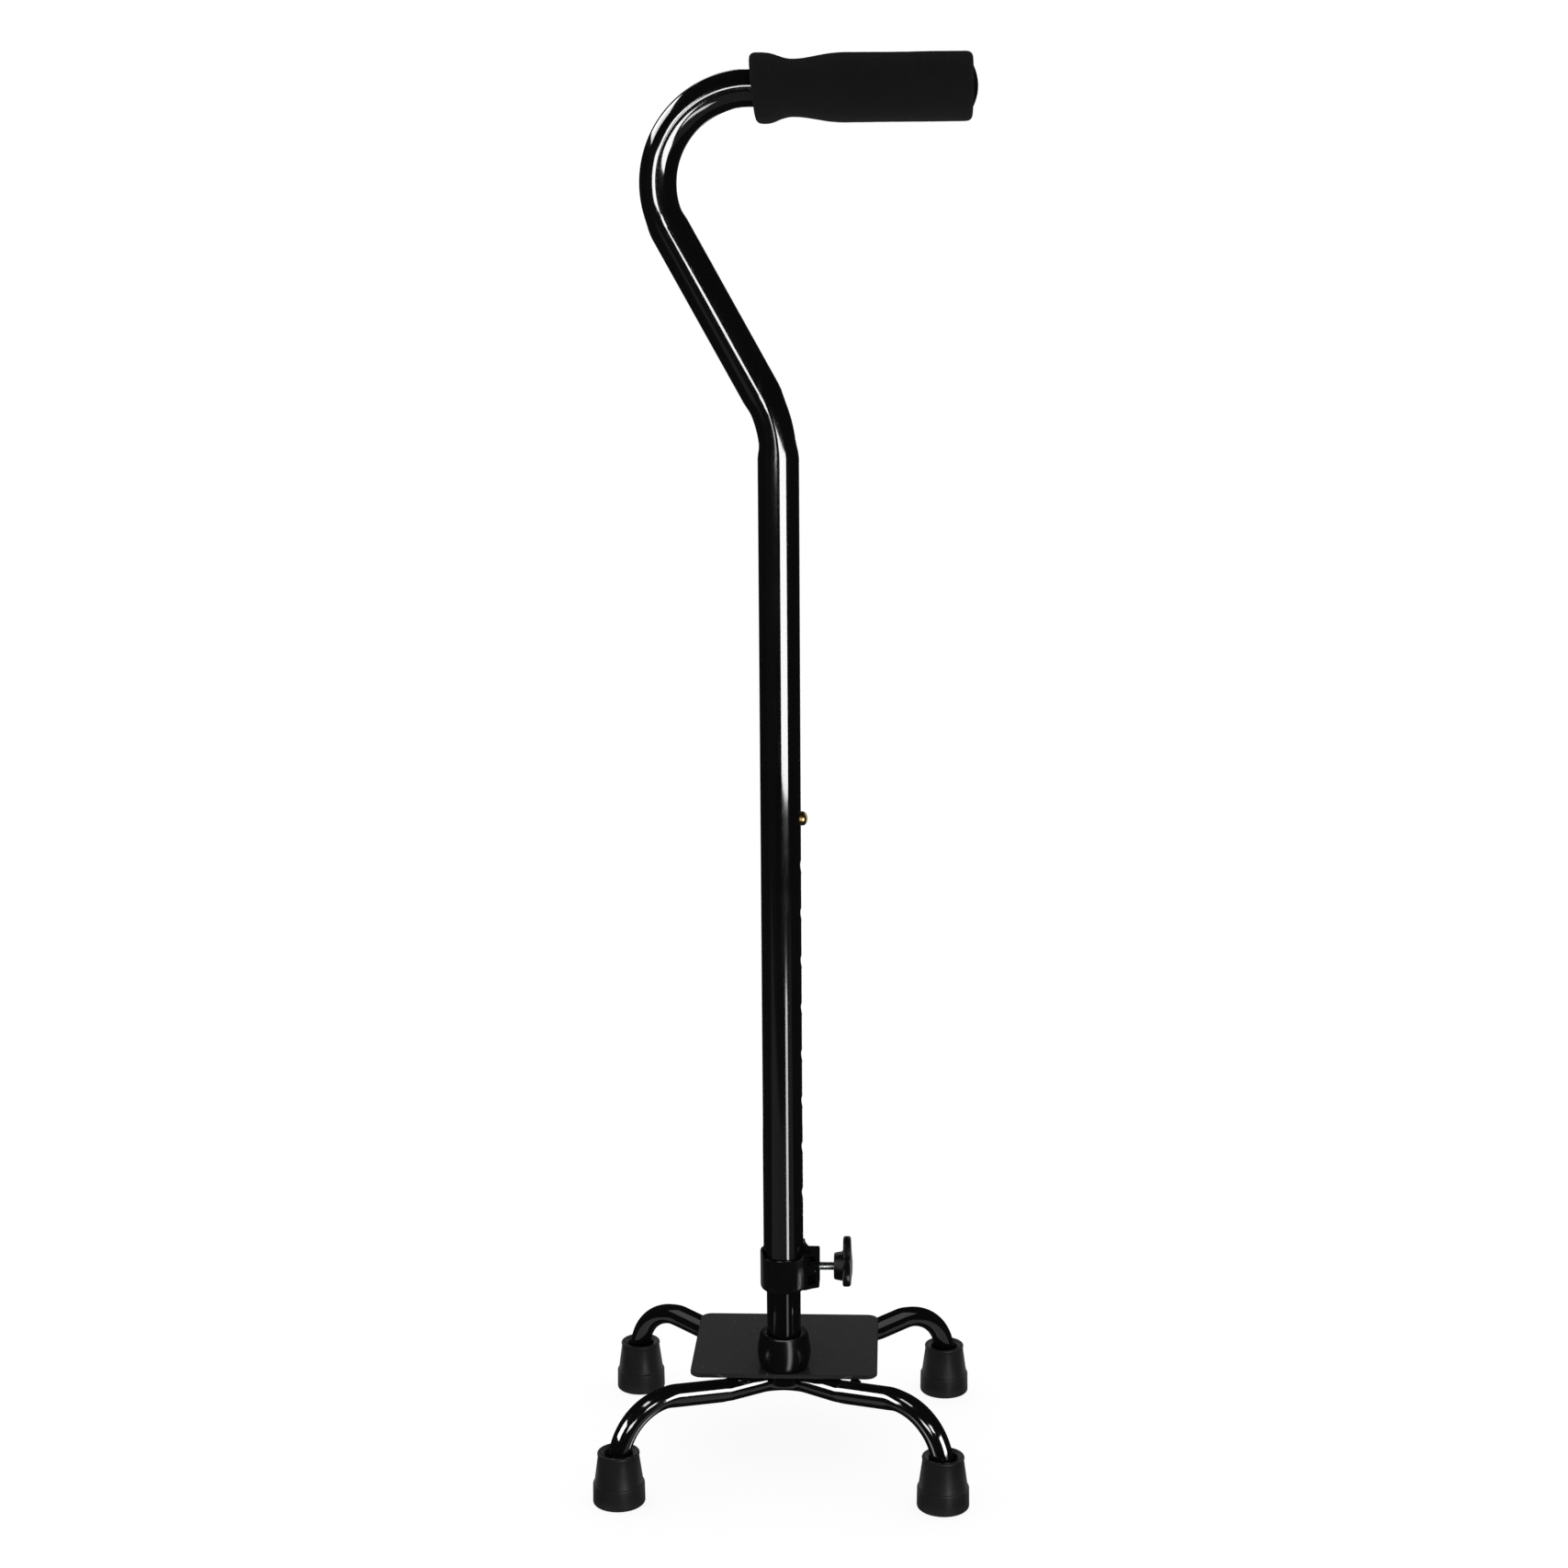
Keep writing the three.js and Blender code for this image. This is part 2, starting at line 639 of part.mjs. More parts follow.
// barrel-shaped socket that stands on the plate and holds the lower tube
function hubSocket() {
  const boreR = LOWER_R + GAP;
  const [bottom, top] = HUB_Z;
  const belly = (z) => {
    const below = z < HUB_BELLY_Z;
    const edgeZ = below ? bottom : top - 2.6;
    const edgeR = below ? HUB_FOOT_R : HUB_SHOULDER_R;
    const away = (z - HUB_BELLY_Z) / (edgeZ - HUB_BELLY_Z);
    return HUB_BELLY_R - (HUB_BELLY_R - edgeR) * away * away;
  };
  const profile = [[boreR, bottom]];
  for (const z of [bottom, 60.5, 63.3, HUB_BELLY_Z, 69, 71.6, top - 2.6]) {
    profile.push([belly(z), z]);
  }
  profile.push([HUB_SHOULDER_R - 0.3, top - 1.1], [HUB_RIM_R + 0.5, top - 0.3]);
  profile.push([HUB_RIM_R, top], [boreR, top]);
  return turned(profile, UPPER_SIDES);
}

function basePlate() {
  const [front, rear] = PLATE_Y;
  const r = PLATE_CORNER;
  const x = PLATE_X - r;
  const outline = [
    ...arc([x, rear - r], r, 0, 90, 5),
    ...arc([-x, rear - r], r, 90, 180, 5),
    ...arc([-x, front + r], r, 180, 270, 5),
    ...arc([x, front + r], r, 270, 360, 5),
  ].map(([px, py]) => new THREE.Vector2(px, py));
  const bevel = 0.4;
  const sheet = new THREE.ExtrudeGeometry(new THREE.Shape(outline), {
    depth: PLATE_Z[1] - PLATE_Z[0] - 2 * bevel,
    bevelThickness: bevel,
    bevelSize: bevel,
    bevelOffset: -bevel,
    bevelSegments: 1,
  });
  return solidOf(sheet.translate(0, 0, PLATE_Z[0] + bevel));
}

// one bent tube makes a pair of legs: tip, end bend, rise, V under the plate, and back out
function legPath([tipX, tipY], bendZ, bendR, riseX, apexY, apexR, extra) {
  const along = (tipY - apexY) / tipX;
  const half = (side) => [
    new THREE.Vector3(side * tipX, tipY, LEG_END_Z - extra),
    new THREE.Vector3(side * tipX, tipY, bendZ),
    new THREE.Vector3(side * riseX, apexY + along * riseX, LEG_Z),
  ];
  const apex = new THREE.Vector3(0, apexY, LEG_Z);
  const radii = [bendR, RISE_BEND_R, apexR, RISE_BEND_R, bendR];
  const step = THREE.MathUtils.degToRad(11);
  return new BentPath([...half(-1), apex, ...half(1).reverse()], radii, step, false);
}

function frontLegPath(extra) {
  return legPath(
    FRONT_TIP, FRONT_BEND_Z, FRONT_BEND_R, FRONT_RISE_X, FRONT_APEX_Y, FRONT_APEX_R, extra,
  );
}

function rearLegPath(extra) {
  return legPath(
    REAR_TIP, REAR_BEND_Z, REAR_BEND_R, REAR_RISE_X, REAR_APEX_Y, REAR_APEX_R, extra,
  );
}

function legTube(pathWith) {
  const wall = (radius, extra, sides) => drawn(pathWith(extra), radius, sides, LEG_FLATTEN, 1);
  return wall(LEG_R, 0, LEG_SIDES).subtract(wall(LEG_R - LEG_WALL, PAST, LEG_SIDES / 2));
}

// the front tube grown by the clearance, for cutting whatever is welded against it
function frontLegClearance() {
  return drawn(frontLegPath(PAST), LEG_R + GAP, LEG_SIDES, LEG_FLATTEN, 1);
}

// the socket's foot shows under the plate, coped over the front of the leg tube
function hubFoot() {
  const top = PLATE_Z[0] - GAP;
  const stub = turned(
    [
      [0, FOOT_BOTTOM_Z],
      [FOOT_R - 1, FOOT_BOTTOM_Z],
      [FOOT_R, FOOT_BOTTOM_Z + 1],
      [FOOT_R, top],
      [0, top],
    ],
    28,
  );
  const frontHalf = block([-FOOT_R - 1, FOOT_R + 1], [-FOOT_R - 1, -1], [FOOT_BOTTOM_Z - 1, top + 1]);
  return stub.intersect(frontHalf).subtract(frontLegClearance());
}

// a bead of weld in the corner between the plate and the front tube
function weldBead([x, y, z]) {
  const ball = solidOf(new THREE.SphereGeometry(1, 12, 8).scale(...BEAD_RADII));
  const [reachX, reachY] = BEAD_RADII;
  const underPlate = block(
    [x - reachX - 1, x + reachX + 1],
    [y - reachY - 1, y + reachY + 1],
    [LEG_Z, PLATE_Z[0] - GAP],
  );
  return ball.translate([x, y, z]).intersect(underPlate).subtract(frontLegClearance());
}

function rubberTip([x, y]) {
  const boreR = LEG_R + GAP;
  const seatR = DISC_R + GAP;
  const [cone0, cone1] = TIP_CONE_R;
  const [groove0, groove1] = TIP_GROOVE_R;
  const profile = [
    [0, 0],
    [groove0, 0],
    [groove0 + 0.5, TIP_GROOVE_DEPTH],
    [groove1 - 0.5, TIP_GROOVE_DEPTH],
    [groove1, 0],
    ...arc([TIP_SKIRT_R - 1.2, 1.2], 1.2, -90, 0, 3),
    [TIP_SKIRT_R - 0.15, TIP_STEP_Z - 0.6],
    [TIP_SKIRT_R - 0.6, TIP_STEP_Z],
    [cone0 + 0.15, TIP_STEP_Z + 0.1],
    [cone0, TIP_STEP_Z + 0.6],
    [cone1, TIP_TOP_Z - 2.4],
    [TIP_LIP_R, TIP_TOP_Z - 1.1],
    [TIP_LIP_R - 0.35, TIP_TOP_Z - 0.3],
    [TIP_LIP_R - 1.1, TIP_TOP_Z],
    [boreR + 1.2, TIP_TOP_Z - TIP_DISH],
    [boreR, TIP_MOUTH_Z],
    [boreR, DISC_Z[1] + GAP],
    [seatR, DISC_Z[1] + GAP],
    [seatR, DISC_Z[0] - GAP],
    [0, DISC_Z[0] - GAP],
  ];
  return turned(profile, TIP_SIDES).translate([x, y, 0]);
}

function tipDisc([x, y]) {
  const [from, to] = DISC_Z;
  return turned([[0, from], [DISC_R, from], [DISC_R, to], [0, to]], 24).translate([x, y, 0]);
}

addNode("upper_tube", upperTube(), GLOSS_BLACK);
addNode("foam_grip", foamGrip(), FOAM);
addNode("grip_end_plug", gripEndPlug(), BLACK_PLASTIC);
addNode("lower_tube", lowerTube(), GLOSS_BLACK);
addNode("tube_guide", tubeGuide(), WHITE_PLASTIC);
addNode("snap_button", snapButton(), BRASS);
addNode("button_spring", buttonSpring(), SPRING_STEEL);
addNode("locking_collar", lockingCollar(), BLACK_PLASTIC);
addNode("captive_nut", captiveNut(), ZINC);
addNode("screw_tip_pad", screwTipPad(), BRASS);
addNode("thumb_screw_stud", thumbScrewStud(), ZINC);
addNode("thumb_knob", thumbKnob(), BLACK_PLASTIC);
addNode("hub_socket", hubSocket(), GLOSS_BLACK);
addNode("hub_foot", hubFoot(), GLOSS_BLACK);
addNode("base_plate", basePlate(), PLATE_GREY);
addNode("front_leg_tube", legTube(frontLegPath), GLOSS_BLACK);
addNode("rear_leg_tube", legTube(rearLegPath), GLOSS_BLACK);
addNode("weld_bead_left", weldBead(BEAD_LEFT), GLOSS_BLACK);
addNode("weld_bead_right", weldBead(BEAD_RIGHT), GLOSS_BLACK);
for (const [end, [x, y]] of [["front", FRONT_TIP], ["rear", REAR_TIP]]) {
  for (const [hand, side] of [["left", -1], ["right", 1]]) {
    addNode(`rubber_tip_${end}_${hand}`, rubberTip([side * x, y]), RUBBER);
    addNode(`tip_disc_${end}_${hand}`, tipDisc([side * x, y]), ZINC);
  }
}

export default cane;
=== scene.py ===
"""Looks for a quad walking cane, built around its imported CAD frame. Metres, +Z up.

The tubes, the turned pieces, the grip, the knob, the screw and the welds are rebuilt here with
finer meshes, in the places the frame gives. The plate, the collar and the small inner pieces keep
their CAD mesh. Paint, foam, rubber, plastic and plating are procedural materials.
"""
import json
import math

import bmesh
import bpy
from mathutils import Matrix, Vector, noise

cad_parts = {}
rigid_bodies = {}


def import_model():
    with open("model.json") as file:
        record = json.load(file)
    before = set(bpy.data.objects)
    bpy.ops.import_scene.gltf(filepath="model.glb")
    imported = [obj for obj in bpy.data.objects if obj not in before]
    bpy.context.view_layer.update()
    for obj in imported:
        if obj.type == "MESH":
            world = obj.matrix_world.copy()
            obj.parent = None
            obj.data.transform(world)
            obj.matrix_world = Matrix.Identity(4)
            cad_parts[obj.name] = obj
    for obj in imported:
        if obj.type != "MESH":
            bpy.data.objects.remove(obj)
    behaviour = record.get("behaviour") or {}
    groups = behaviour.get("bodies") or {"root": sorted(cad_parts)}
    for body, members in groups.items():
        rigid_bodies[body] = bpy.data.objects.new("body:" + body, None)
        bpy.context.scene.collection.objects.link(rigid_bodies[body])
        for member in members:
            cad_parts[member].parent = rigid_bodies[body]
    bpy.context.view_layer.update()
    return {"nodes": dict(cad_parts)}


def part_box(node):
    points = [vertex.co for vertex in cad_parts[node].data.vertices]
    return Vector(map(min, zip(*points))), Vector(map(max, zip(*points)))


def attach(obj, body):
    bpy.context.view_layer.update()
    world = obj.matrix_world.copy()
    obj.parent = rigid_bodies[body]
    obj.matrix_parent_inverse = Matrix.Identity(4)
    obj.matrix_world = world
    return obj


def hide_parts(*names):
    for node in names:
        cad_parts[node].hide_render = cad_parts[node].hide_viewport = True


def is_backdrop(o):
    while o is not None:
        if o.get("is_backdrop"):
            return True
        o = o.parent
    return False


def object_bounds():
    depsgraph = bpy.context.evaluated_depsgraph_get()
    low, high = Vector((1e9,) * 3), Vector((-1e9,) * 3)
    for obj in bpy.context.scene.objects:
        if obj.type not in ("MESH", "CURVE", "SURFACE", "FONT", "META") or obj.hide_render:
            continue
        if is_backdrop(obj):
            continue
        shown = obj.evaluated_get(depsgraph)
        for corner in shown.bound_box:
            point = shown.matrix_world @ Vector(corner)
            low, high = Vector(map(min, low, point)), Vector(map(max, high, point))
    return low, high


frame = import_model()

MM = 0.001
SMOOTH_BELOW = math.radians(32)  # edges that turn by less than this are shaded smooth
SAME_SPOT = 0.002 * MM  # vertices this close are one
ON_AXIS = 0.0001 * MM  # a radius no larger than this is none
CORNER_SHARE = 0.45  # of an edge, the most that rounding one of its corners may use

# the handle's bends and holes, as the CAD draws them; their places come from the frame below
NECK_LEAN = math.radians(29)
LOWER_BEND_R = 70 * MM
UPPER_BEND_R = 47.5 * MM
BEND_STEP = math.radians(2.5)
NECK_SLIM = 0.965  # the tube's width past its first bend, as a share of the shaft's
NECK_FLATTEN = 0.075  # how much a bend narrows the tube in its own plane
BEND_RAMP = 9 * MM  # the length over which that narrowing comes and goes
UPPER_WALL = 1.2 * MM
HOLE_PITCH = 26.45 * MM
HOLE_COUNT = 9
HOLE_R = 4.15 * MM
SCREW_CLEARANCE = 0.6 * MM

# the legs' bends; a rise is where a leg leaves its level run, an apex where a pair meets
LEG_R = 6.35 * MM
LEG_WALL = 1.4 * MM
LEG_FLATTEN = 0.12
LEG_RISE_R = 50 * MM
LEG_CLEARANCE = 0.75 * MM  # between the plate and the level run of a leg tube
FRONT_BEND_Z = 57.6 * MM
FRONT_BEND_R = 31.7 * MM
FRONT_RISE_X = 32 * MM
FRONT_APEX_Y = 8.5 * MM  # from the shaft's axis
FRONT_APEX_R = 23 * MM
REAR_BEND_Z = 56.8 * MM
REAR_BEND_R = 27 * MM
REAR_RISE_X = 50 * MM
REAR_APEX_Y = 42.5 * MM
REAR_APEX_R = 40 * MM

# the grip
FOAM_CORNER = 1.6 * MM
FOAM_STEP = 1.6 * MM
FOAM_LUMP = 0.16 * MM
FOAM_PIT = 0.05 * MM
GRIP_SLANT = 0.1  # the grip's inner end leans, top further back
GRIP_SLANT_REACH = 16 * MM  # how far along the grip the lean dies out

# the thumb screw
KNOB_NECK = 5 * MM
KNOB_HEAD = 4.5 * MM
KNOB_BORE_R = 2.7 * MM
KNOB_BORE_SPARE = 0.3 * MM
KNOB_MEAN_R = 12.6 * MM
KNOB_LOBE = 3.9 * MM
KNOB_LOBES = 3
KNOB_TURN = math.radians(20)
THREAD_PITCH = 0.8 * MM
THREAD_DEPTH = 0.42 * MM
STUD_CHAMFER = 0.5 * MM

# the welds
WELD_RIPPLE = 0.12 * MM
WELD_PHASE_PER_MM = 5  # radians
WELD_SINK = 0.05 * MM  # pulls the ripple's mean back inside the CAD's bead


# ---- places read from the frame -------------------------------------------------------------


def middle(node):
    """The middle of a CAD node's box at rest."""
    low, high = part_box(node)
    return (low + high) / 2


SHAFT = Vector((middle("lower_tube").x, middle("lower_tube").y, 0))
GRIP_AXIS_Z = middle("grip_end_plug").z
SCREW_Z = middle("thumb_screw_stud").z
BUTTON_Z = middle("snap_button").z


# ---- mesh helpers ---------------------------------------------------------------------------


def smoothstep(x):
    x = min(max(x, 0.0), 1.0)
    return x * x * (3 - 2 * x)


def add_piece(name, bm, material, body, replaced):
    """A finished mesh as an object on a CAD body, standing for the CAD node it replaces."""
    bmesh.ops.recalc_face_normals(bm, faces=bm.faces)
    mesh = bpy.data.meshes.new(name)
    bm.to_mesh(mesh)
    bm.free()
    mesh.shade_smooth()
    mesh.set_sharp_from_angle(angle=SMOOTH_BELOW)
    mesh.materials.append(material)
    piece = bpy.data.objects.new(name, mesh)
    bpy.context.scene.collection.objects.link(piece)
    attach(piece, body)
    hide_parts(replaced)


def bridge(bm, ring, following):
    """Faces between two rings of vertices; a ring of one vertex is a pole."""
    count = max(len(ring), len(following))
    for i in range(count):
        after = (i + 1) % count
        corners = [ring[i % len(ring)], ring[after % len(ring)]]
        corners += [following[after % len(following)], following[i % len(following)]]
        distinct = list(dict.fromkeys(corners))
        if len(distinct) > 2:
            bm.faces.new(distinct)


def add_ring(bm, points):
    return [bm.verts.new(p) for p in points]


def skin(bm, rings, closed):
    """Faces from each ring to the next, and from the last to the first on a closed loop."""
    for ring, following in zip(rings, rings[1:]):
        bridge(bm, ring, following)
    if closed:
        bridge(bm, rings[-1], rings[0])


# ---- bent tubes -----------------------------------------------------------------------------


class Section:
    """One cross-section of a bent tube's path. On a bend, inward points at the bend's centre and
    into_bend says how far the flattening has come in; past_first says how far the tube has
    slimmed since its first bend."""

    def __init__(self, place, along, inward=None, into_bend=0.0, past_first=1.0):
        self.place = place
        self.along = along
        self.inward = inward
        self.into_bend = smoothstep(into_bend)
        self.past_first = smoothstep(past_first)


def bent_sections(corners, radii, flat_to_end=False):
    """Sections along straight runs whose corners are rounded to the bend radii. With flat_to_end
    the last bend stays flattened to its end, and rounds out along the run that follows."""
    first = (corners[1] - corners[0]).normalized()
    sections = [Section(corners[0], first, past_first=0)]
    for i, radius in enumerate(radii):
        corner = corners[i + 1]
        into = (corner - corners[i]).normalized()
        out = (corners[i + 2] - corner).normalized()
        angle = into.angle(out)
        start = corner - into * radius * math.tan(angle / 2)
        inward = (out - into * into.dot(out)).normalized()
        centre = start + inward * radius
        steps = math.ceil(angle / BEND_STEP)
        leaves_ramp = not (flat_to_end and i == len(radii) - 1)
        for k in range(steps + 1):
            swept = angle * k / steps
            place = centre - inward * radius * math.cos(swept) + into * radius * math.sin(swept)
            along = into * math.cos(swept) + inward * math.sin(swept)
            gone = radius * swept
            left = radius * (angle - swept) if leaves_ramp else gone
            past = gone / BEND_RAMP if i == 0 else 1
            ramp = min(gone, left) / BEND_RAMP
            sections.append(Section(place, along, (centre - place).normalized(), ramp, past))
    sections.append(Section(corners[-1], out))
    return sections


def tube_rings(bm, sections, radius, sides, flatten, slim):
    """One ring a section, narrowed in the plane of a bend and a little wider across it."""
    along = sections[0].along
    side = along.orthogonal().normalized()
    rings = []
    for section in sections:
        side = (along.rotation_difference(section.along) @ side).normalized()
        along = section.along
        across = along.cross(side)
        squeeze = flatten * section.into_bend
        size = radius * (1 - (1 - slim) * section.past_first)
        points = []
        for k in range(sides):
            a = 2 * math.pi * k / sides
            offset = (side * math.cos(a) + across * math.sin(a)) * size
            if section.inward:
                in_plane = section.inward * offset.dot(section.inward)
                offset = (offset - in_plane) * (1 + squeeze / 2) + in_plane * (1 - squeeze)
            points.append(section.place + offset)
        rings.append(add_ring(bm, points))
    return rings


def tube(sections, radius, wall, sides, flatten, slim=1.0):
    """A tube wall: the outside one way, then the bore back."""
    bm = bmesh.new()
    outside = tube_rings(bm, sections, radius, sides, flatten, slim)
    bore = tube_rings(bm, sections, radius - wall, sides, flatten, slim)
    skin(bm, outside + bore[::-1], closed=True)
    return bm


def handle_sections():
    """The handle tube's path: up the shaft, along the leaning neck and over to the grip's end.
    How far left the CAD's tube reaches sets where the neck meets the grip."""
    low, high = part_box("upper_tube")
    half_width = middle("lower_tube").y - low.y
    bend_angle = math.pi / 2 + NECK_LEAN
    outermost = half_width * NECK_SLIM * (1 - NECK_FLATTEN)
    bend_end_x = low.x + outermost + UPPER_BEND_R
    neck_top = UPPER_BEND_R * math.tan(bend_angle / 2) - bend_end_x
    neck_foot_z = GRIP_AXIS_Z - neck_top / math.tan(NECK_LEAN)
    corners = [
        SHAFT + Vector((0, 0, low.z)),
        SHAFT + Vector((0, 0, neck_foot_z)),
        SHAFT + Vector((-neck_top, 0, GRIP_AXIS_Z)),
        SHAFT + Vector((high.x, 0, GRIP_AXIS_Z)),
    ]
    return bent_sections(corners, [LOWER_BEND_R, UPPER_BEND_R], flat_to_end=True)


def leg_sections(leg, tip, bend_z, bend_r, rise_x, apex_y, apex_r):
    """The path of one bent tube that makes a pair of legs, from the left tip to the right."""
    foot_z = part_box(leg)[0].z
    tip_x = middle(tip).x
    tip_y = middle(tip).y - SHAFT.y
    level_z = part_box("base_plate")[0].z - LEG_R - LEG_CLEARANCE
    slope = (tip_y - apex_y) / tip_x
    left = [
        Vector((-tip_x, tip_y, foot_z)),
        Vector((-tip_x, tip_y, bend_z)),
        Vector((-rise_x, apex_y + slope * rise_x, level_z)),
    ]
    right = [Vector((-p.x, p.y, p.z)) for p in reversed(left)]
    corners = [SHAFT + p for p in left + [Vector((0, apex_y, level_z))] + right]
    return bent_sections(corners, [bend_r, LEG_RISE_R, apex_r, LEG_RISE_R, bend_r])


# ---- turned pieces --------------------------------------------------------------------------


def cad_profile(node, axis):
    """The half outline of a turned CAD node as (radius, height) pairs in order, read from the
    mesh vertices on the +Y side of its axis. Also says whether the outline is a closed loop."""
    mesh = frame["nodes"][node].data
    centre = middle(node)
    up, side = ("z", "x") if axis == "Z" else ("x", "z")

    def key(vertex):
        return (round(vertex.co.y - centre.y, 6), round(getattr(vertex.co, up), 6))

    def on_half_plane(vertex):
        off_plane = abs(getattr(vertex.co, side) - getattr(centre, side))
        return off_plane < SAME_SPOT and vertex.co.y - centre.y > -SAME_SPOT

    links = {}
    for edge in mesh.edges:
        a, b = (mesh.vertices[i] for i in edge.vertices)
        if on_half_plane(a) and on_half_plane(b) and key(a) != key(b):
            links.setdefault(key(a), set()).add(key(b))
            links.setdefault(key(b), set()).add(key(a))
    ends = sorted(point for point, joined in links.items() if len(joined) == 1)
    closed = not ends
    walk = [min(links) if closed else ends[0]]
    while True:
        onward = sorted(p for p in links[walk[-1]] if p not in walk)
        if not onward:
            break
        walk.append(onward[0])
    return [(max(r, 0.0), h) for r, h in walk], closed


def rounded(profile, closed, radius, steps=4):
    """The outline with its corners cut back by up to the radius and curved between the cuts."""
    points = [Vector(p) for p in profile]
    made = []
    for i, point in enumerate(points):
        if not closed and i in (0, len(points) - 1):
            made.append(tuple(point))
            continue
        before = points[i - 1] - point
        after = points[(i + 1) % len(points)] - point
        if before.angle(after) > math.pi - SMOOTH_BELOW:
            made.append(tuple(point))
            continue
        start = point + before.normalized() * min(radius, before.length * CORNER_SHARE)
        end = point + after.normalized() * min(radius, after.length * CORNER_SHARE)
        for k in range(steps + 1):
            t = k / steps
            on_curve = start * (1 - t) ** 2 + point * 2 * t * (1 - t) + end * t * t
            made.append(tuple(on_curve))
    return made


def turned(profile, closed, centre, axis, sides=96):
    """The outline spun about an axis through the centre; a point on the axis becomes a pole."""
    bm = bmesh.new()
    rings = []
    for radius, height in profile:
        count = sides if radius > ON_AXIS else 1
        points = []
        for k in range(count):
            a = 2 * math.pi * k / sides
            u, v = radius * math.cos(a), radius * math.sin(a)
            spot = (centre.x + u, centre.y + v, height)
            if axis == "X":
                spot = (height, centre.y + u, centre.z + v)
            points.append(spot)
        rings.append(add_ring(bm, points))
    skin(bm, rings, closed)
    return bm


def turned_piece(node, axis, corner, material, body):
    """A CAD node that is turned about its own axis, made again with fine, rounded corners."""
    profile, closed = cad_profile(node, axis)
    bm = turned(rounded(profile, closed, corner), closed, middle(node), axis)
    add_piece(node + "_turned", bm, material, body, node)


# ---- material helpers -----------------------------------------------------------------------


class Look:
    """A procedural material under construction. Each method adds a node and returns an output."""

    def __init__(self, name, roughness=0.5, metallic=0.0):
        self.material = bpy.data.materials.new(name)
        self.material.use_nodes = True
        self.tree = self.material.node_tree
        self.shader = self.tree.nodes["Principled BSDF"]
        self.shader.inputs["Roughness"].default_value = roughness
        self.shader.inputs["Metallic"].default_value = metallic
        self.place = self.tree.nodes.new("ShaderNodeTexCoord").outputs["Object"]

    def wire(self, value, socket):
        if isinstance(value, bpy.types.NodeSocket):
            self.tree.links.new(value, socket)
        else:
            socket.default_value = value

    def set(self, name, value):
        self.wire(value, self.shader.inputs[name])

    def noise(self, scale, detail=3.0, roughness=0.5, stretch=None):
        node = self.tree.nodes.new("ShaderNodeTexNoise")
        self.wire(self.stretched(stretch), node.inputs["Vector"])
        node.inputs["Scale"].default_value = scale
        node.inputs["Detail"].default_value = detail
        node.inputs["Roughness"].default_value = roughness
        return node.outputs["Fac"]

    def cells(self, scale):
        node = self.tree.nodes.new("ShaderNodeTexVoronoi")
        self.wire(self.place, node.inputs["Vector"])
        node.inputs["Scale"].default_value = scale
        return node.outputs["Distance"]

    def stretched(self, stretch):
        if stretch is None:
            return self.place
        node = self.tree.nodes.new("ShaderNodeMapping")
        self.wire(self.place, node.inputs["Vector"])
        node.inputs["Scale"].default_value = stretch
        return node.outputs["Vector"]

    def height(self):
        node = self.tree.nodes.new("ShaderNodeSeparateXYZ")
        self.wire(self.place, node.inputs["Vector"])
        return node.outputs["Z"]

    def edges(self):
        node = self.tree.nodes.new("ShaderNodeNewGeometry")
        return node.outputs["Pointiness"]

    def spread(self, value, low, high, to_low=0.0, to_high=1.0):
        node = self.tree.nodes.new("ShaderNodeMapRange")
        self.wire(value, node.inputs["Value"])
        node.inputs["From Min"].default_value = low
        node.inputs["From Max"].default_value = high
        node.inputs["To Min"].default_value = to_low
        node.inputs["To Max"].default_value = to_high
        return node.outputs["Result"]

    def combine(self, operation, first, second):
        node = self.tree.nodes.new("ShaderNodeMath")
        node.operation = operation
        self.wire(first, node.inputs[0])
        self.wire(second, node.inputs[1])
        return node.outputs["Value"]

    def mix(self, share, first, second):
        node = self.tree.nodes.new("ShaderNodeMix")
        node.data_type = "RGBA"
        self.wire(share, node.inputs["Factor"])
        self.wire(first, node.inputs["A"])
        self.wire(second, node.inputs["B"])
        return node.outputs["Result"]

    def bump(self, height, depth, strength=1.0, under=None):
        node = self.tree.nodes.new("ShaderNodeBump")
        self.wire(height, node.inputs["Height"])
        node.inputs["Distance"].default_value = depth
        node.inputs["Strength"].default_value = strength
        if under is not None:
            self.wire(under, node.inputs["Normal"])
        return node.outputs["Normal"]


def grey(value, warm=0.0):
    """A grey as a colour; warm shifts it towards red, or towards blue when negative."""
    return (value + warm, value, value - warm, 1.0)


# ---- materials ------------------------------------------------------------------------------


def black_paint(name, roughness):
    """Black powder coat: a faint orange peel, fine dust specks and thin rub marks."""
    look = Look(name)
    cloud = look.noise(22, detail=4)
    look.set("Base Color", look.mix(cloud, grey(0.0022), grey(0.0042)))
    rub = look.spread(look.noise(260, detail=5, stretch=(1, 1, 0.08)), 0.62, 0.8)
    uneven = look.spread(cloud, 0.3, 0.7, roughness, roughness + 0.05)
    look.set("Roughness", look.combine("ADD", uneven, look.combine("MULTIPLY", rub, 0.12)))
    look.set("Specular IOR Level", 0.5)
    peel = look.bump(look.noise(620, detail=2), 0.02 * MM, 0.02)
    specks = look.spread(look.noise(2600, detail=1), 0.72, 0.78)
    look.set("Normal", look.bump(specks, 0.02 * MM, 0.3, under=peel))
    return look.material


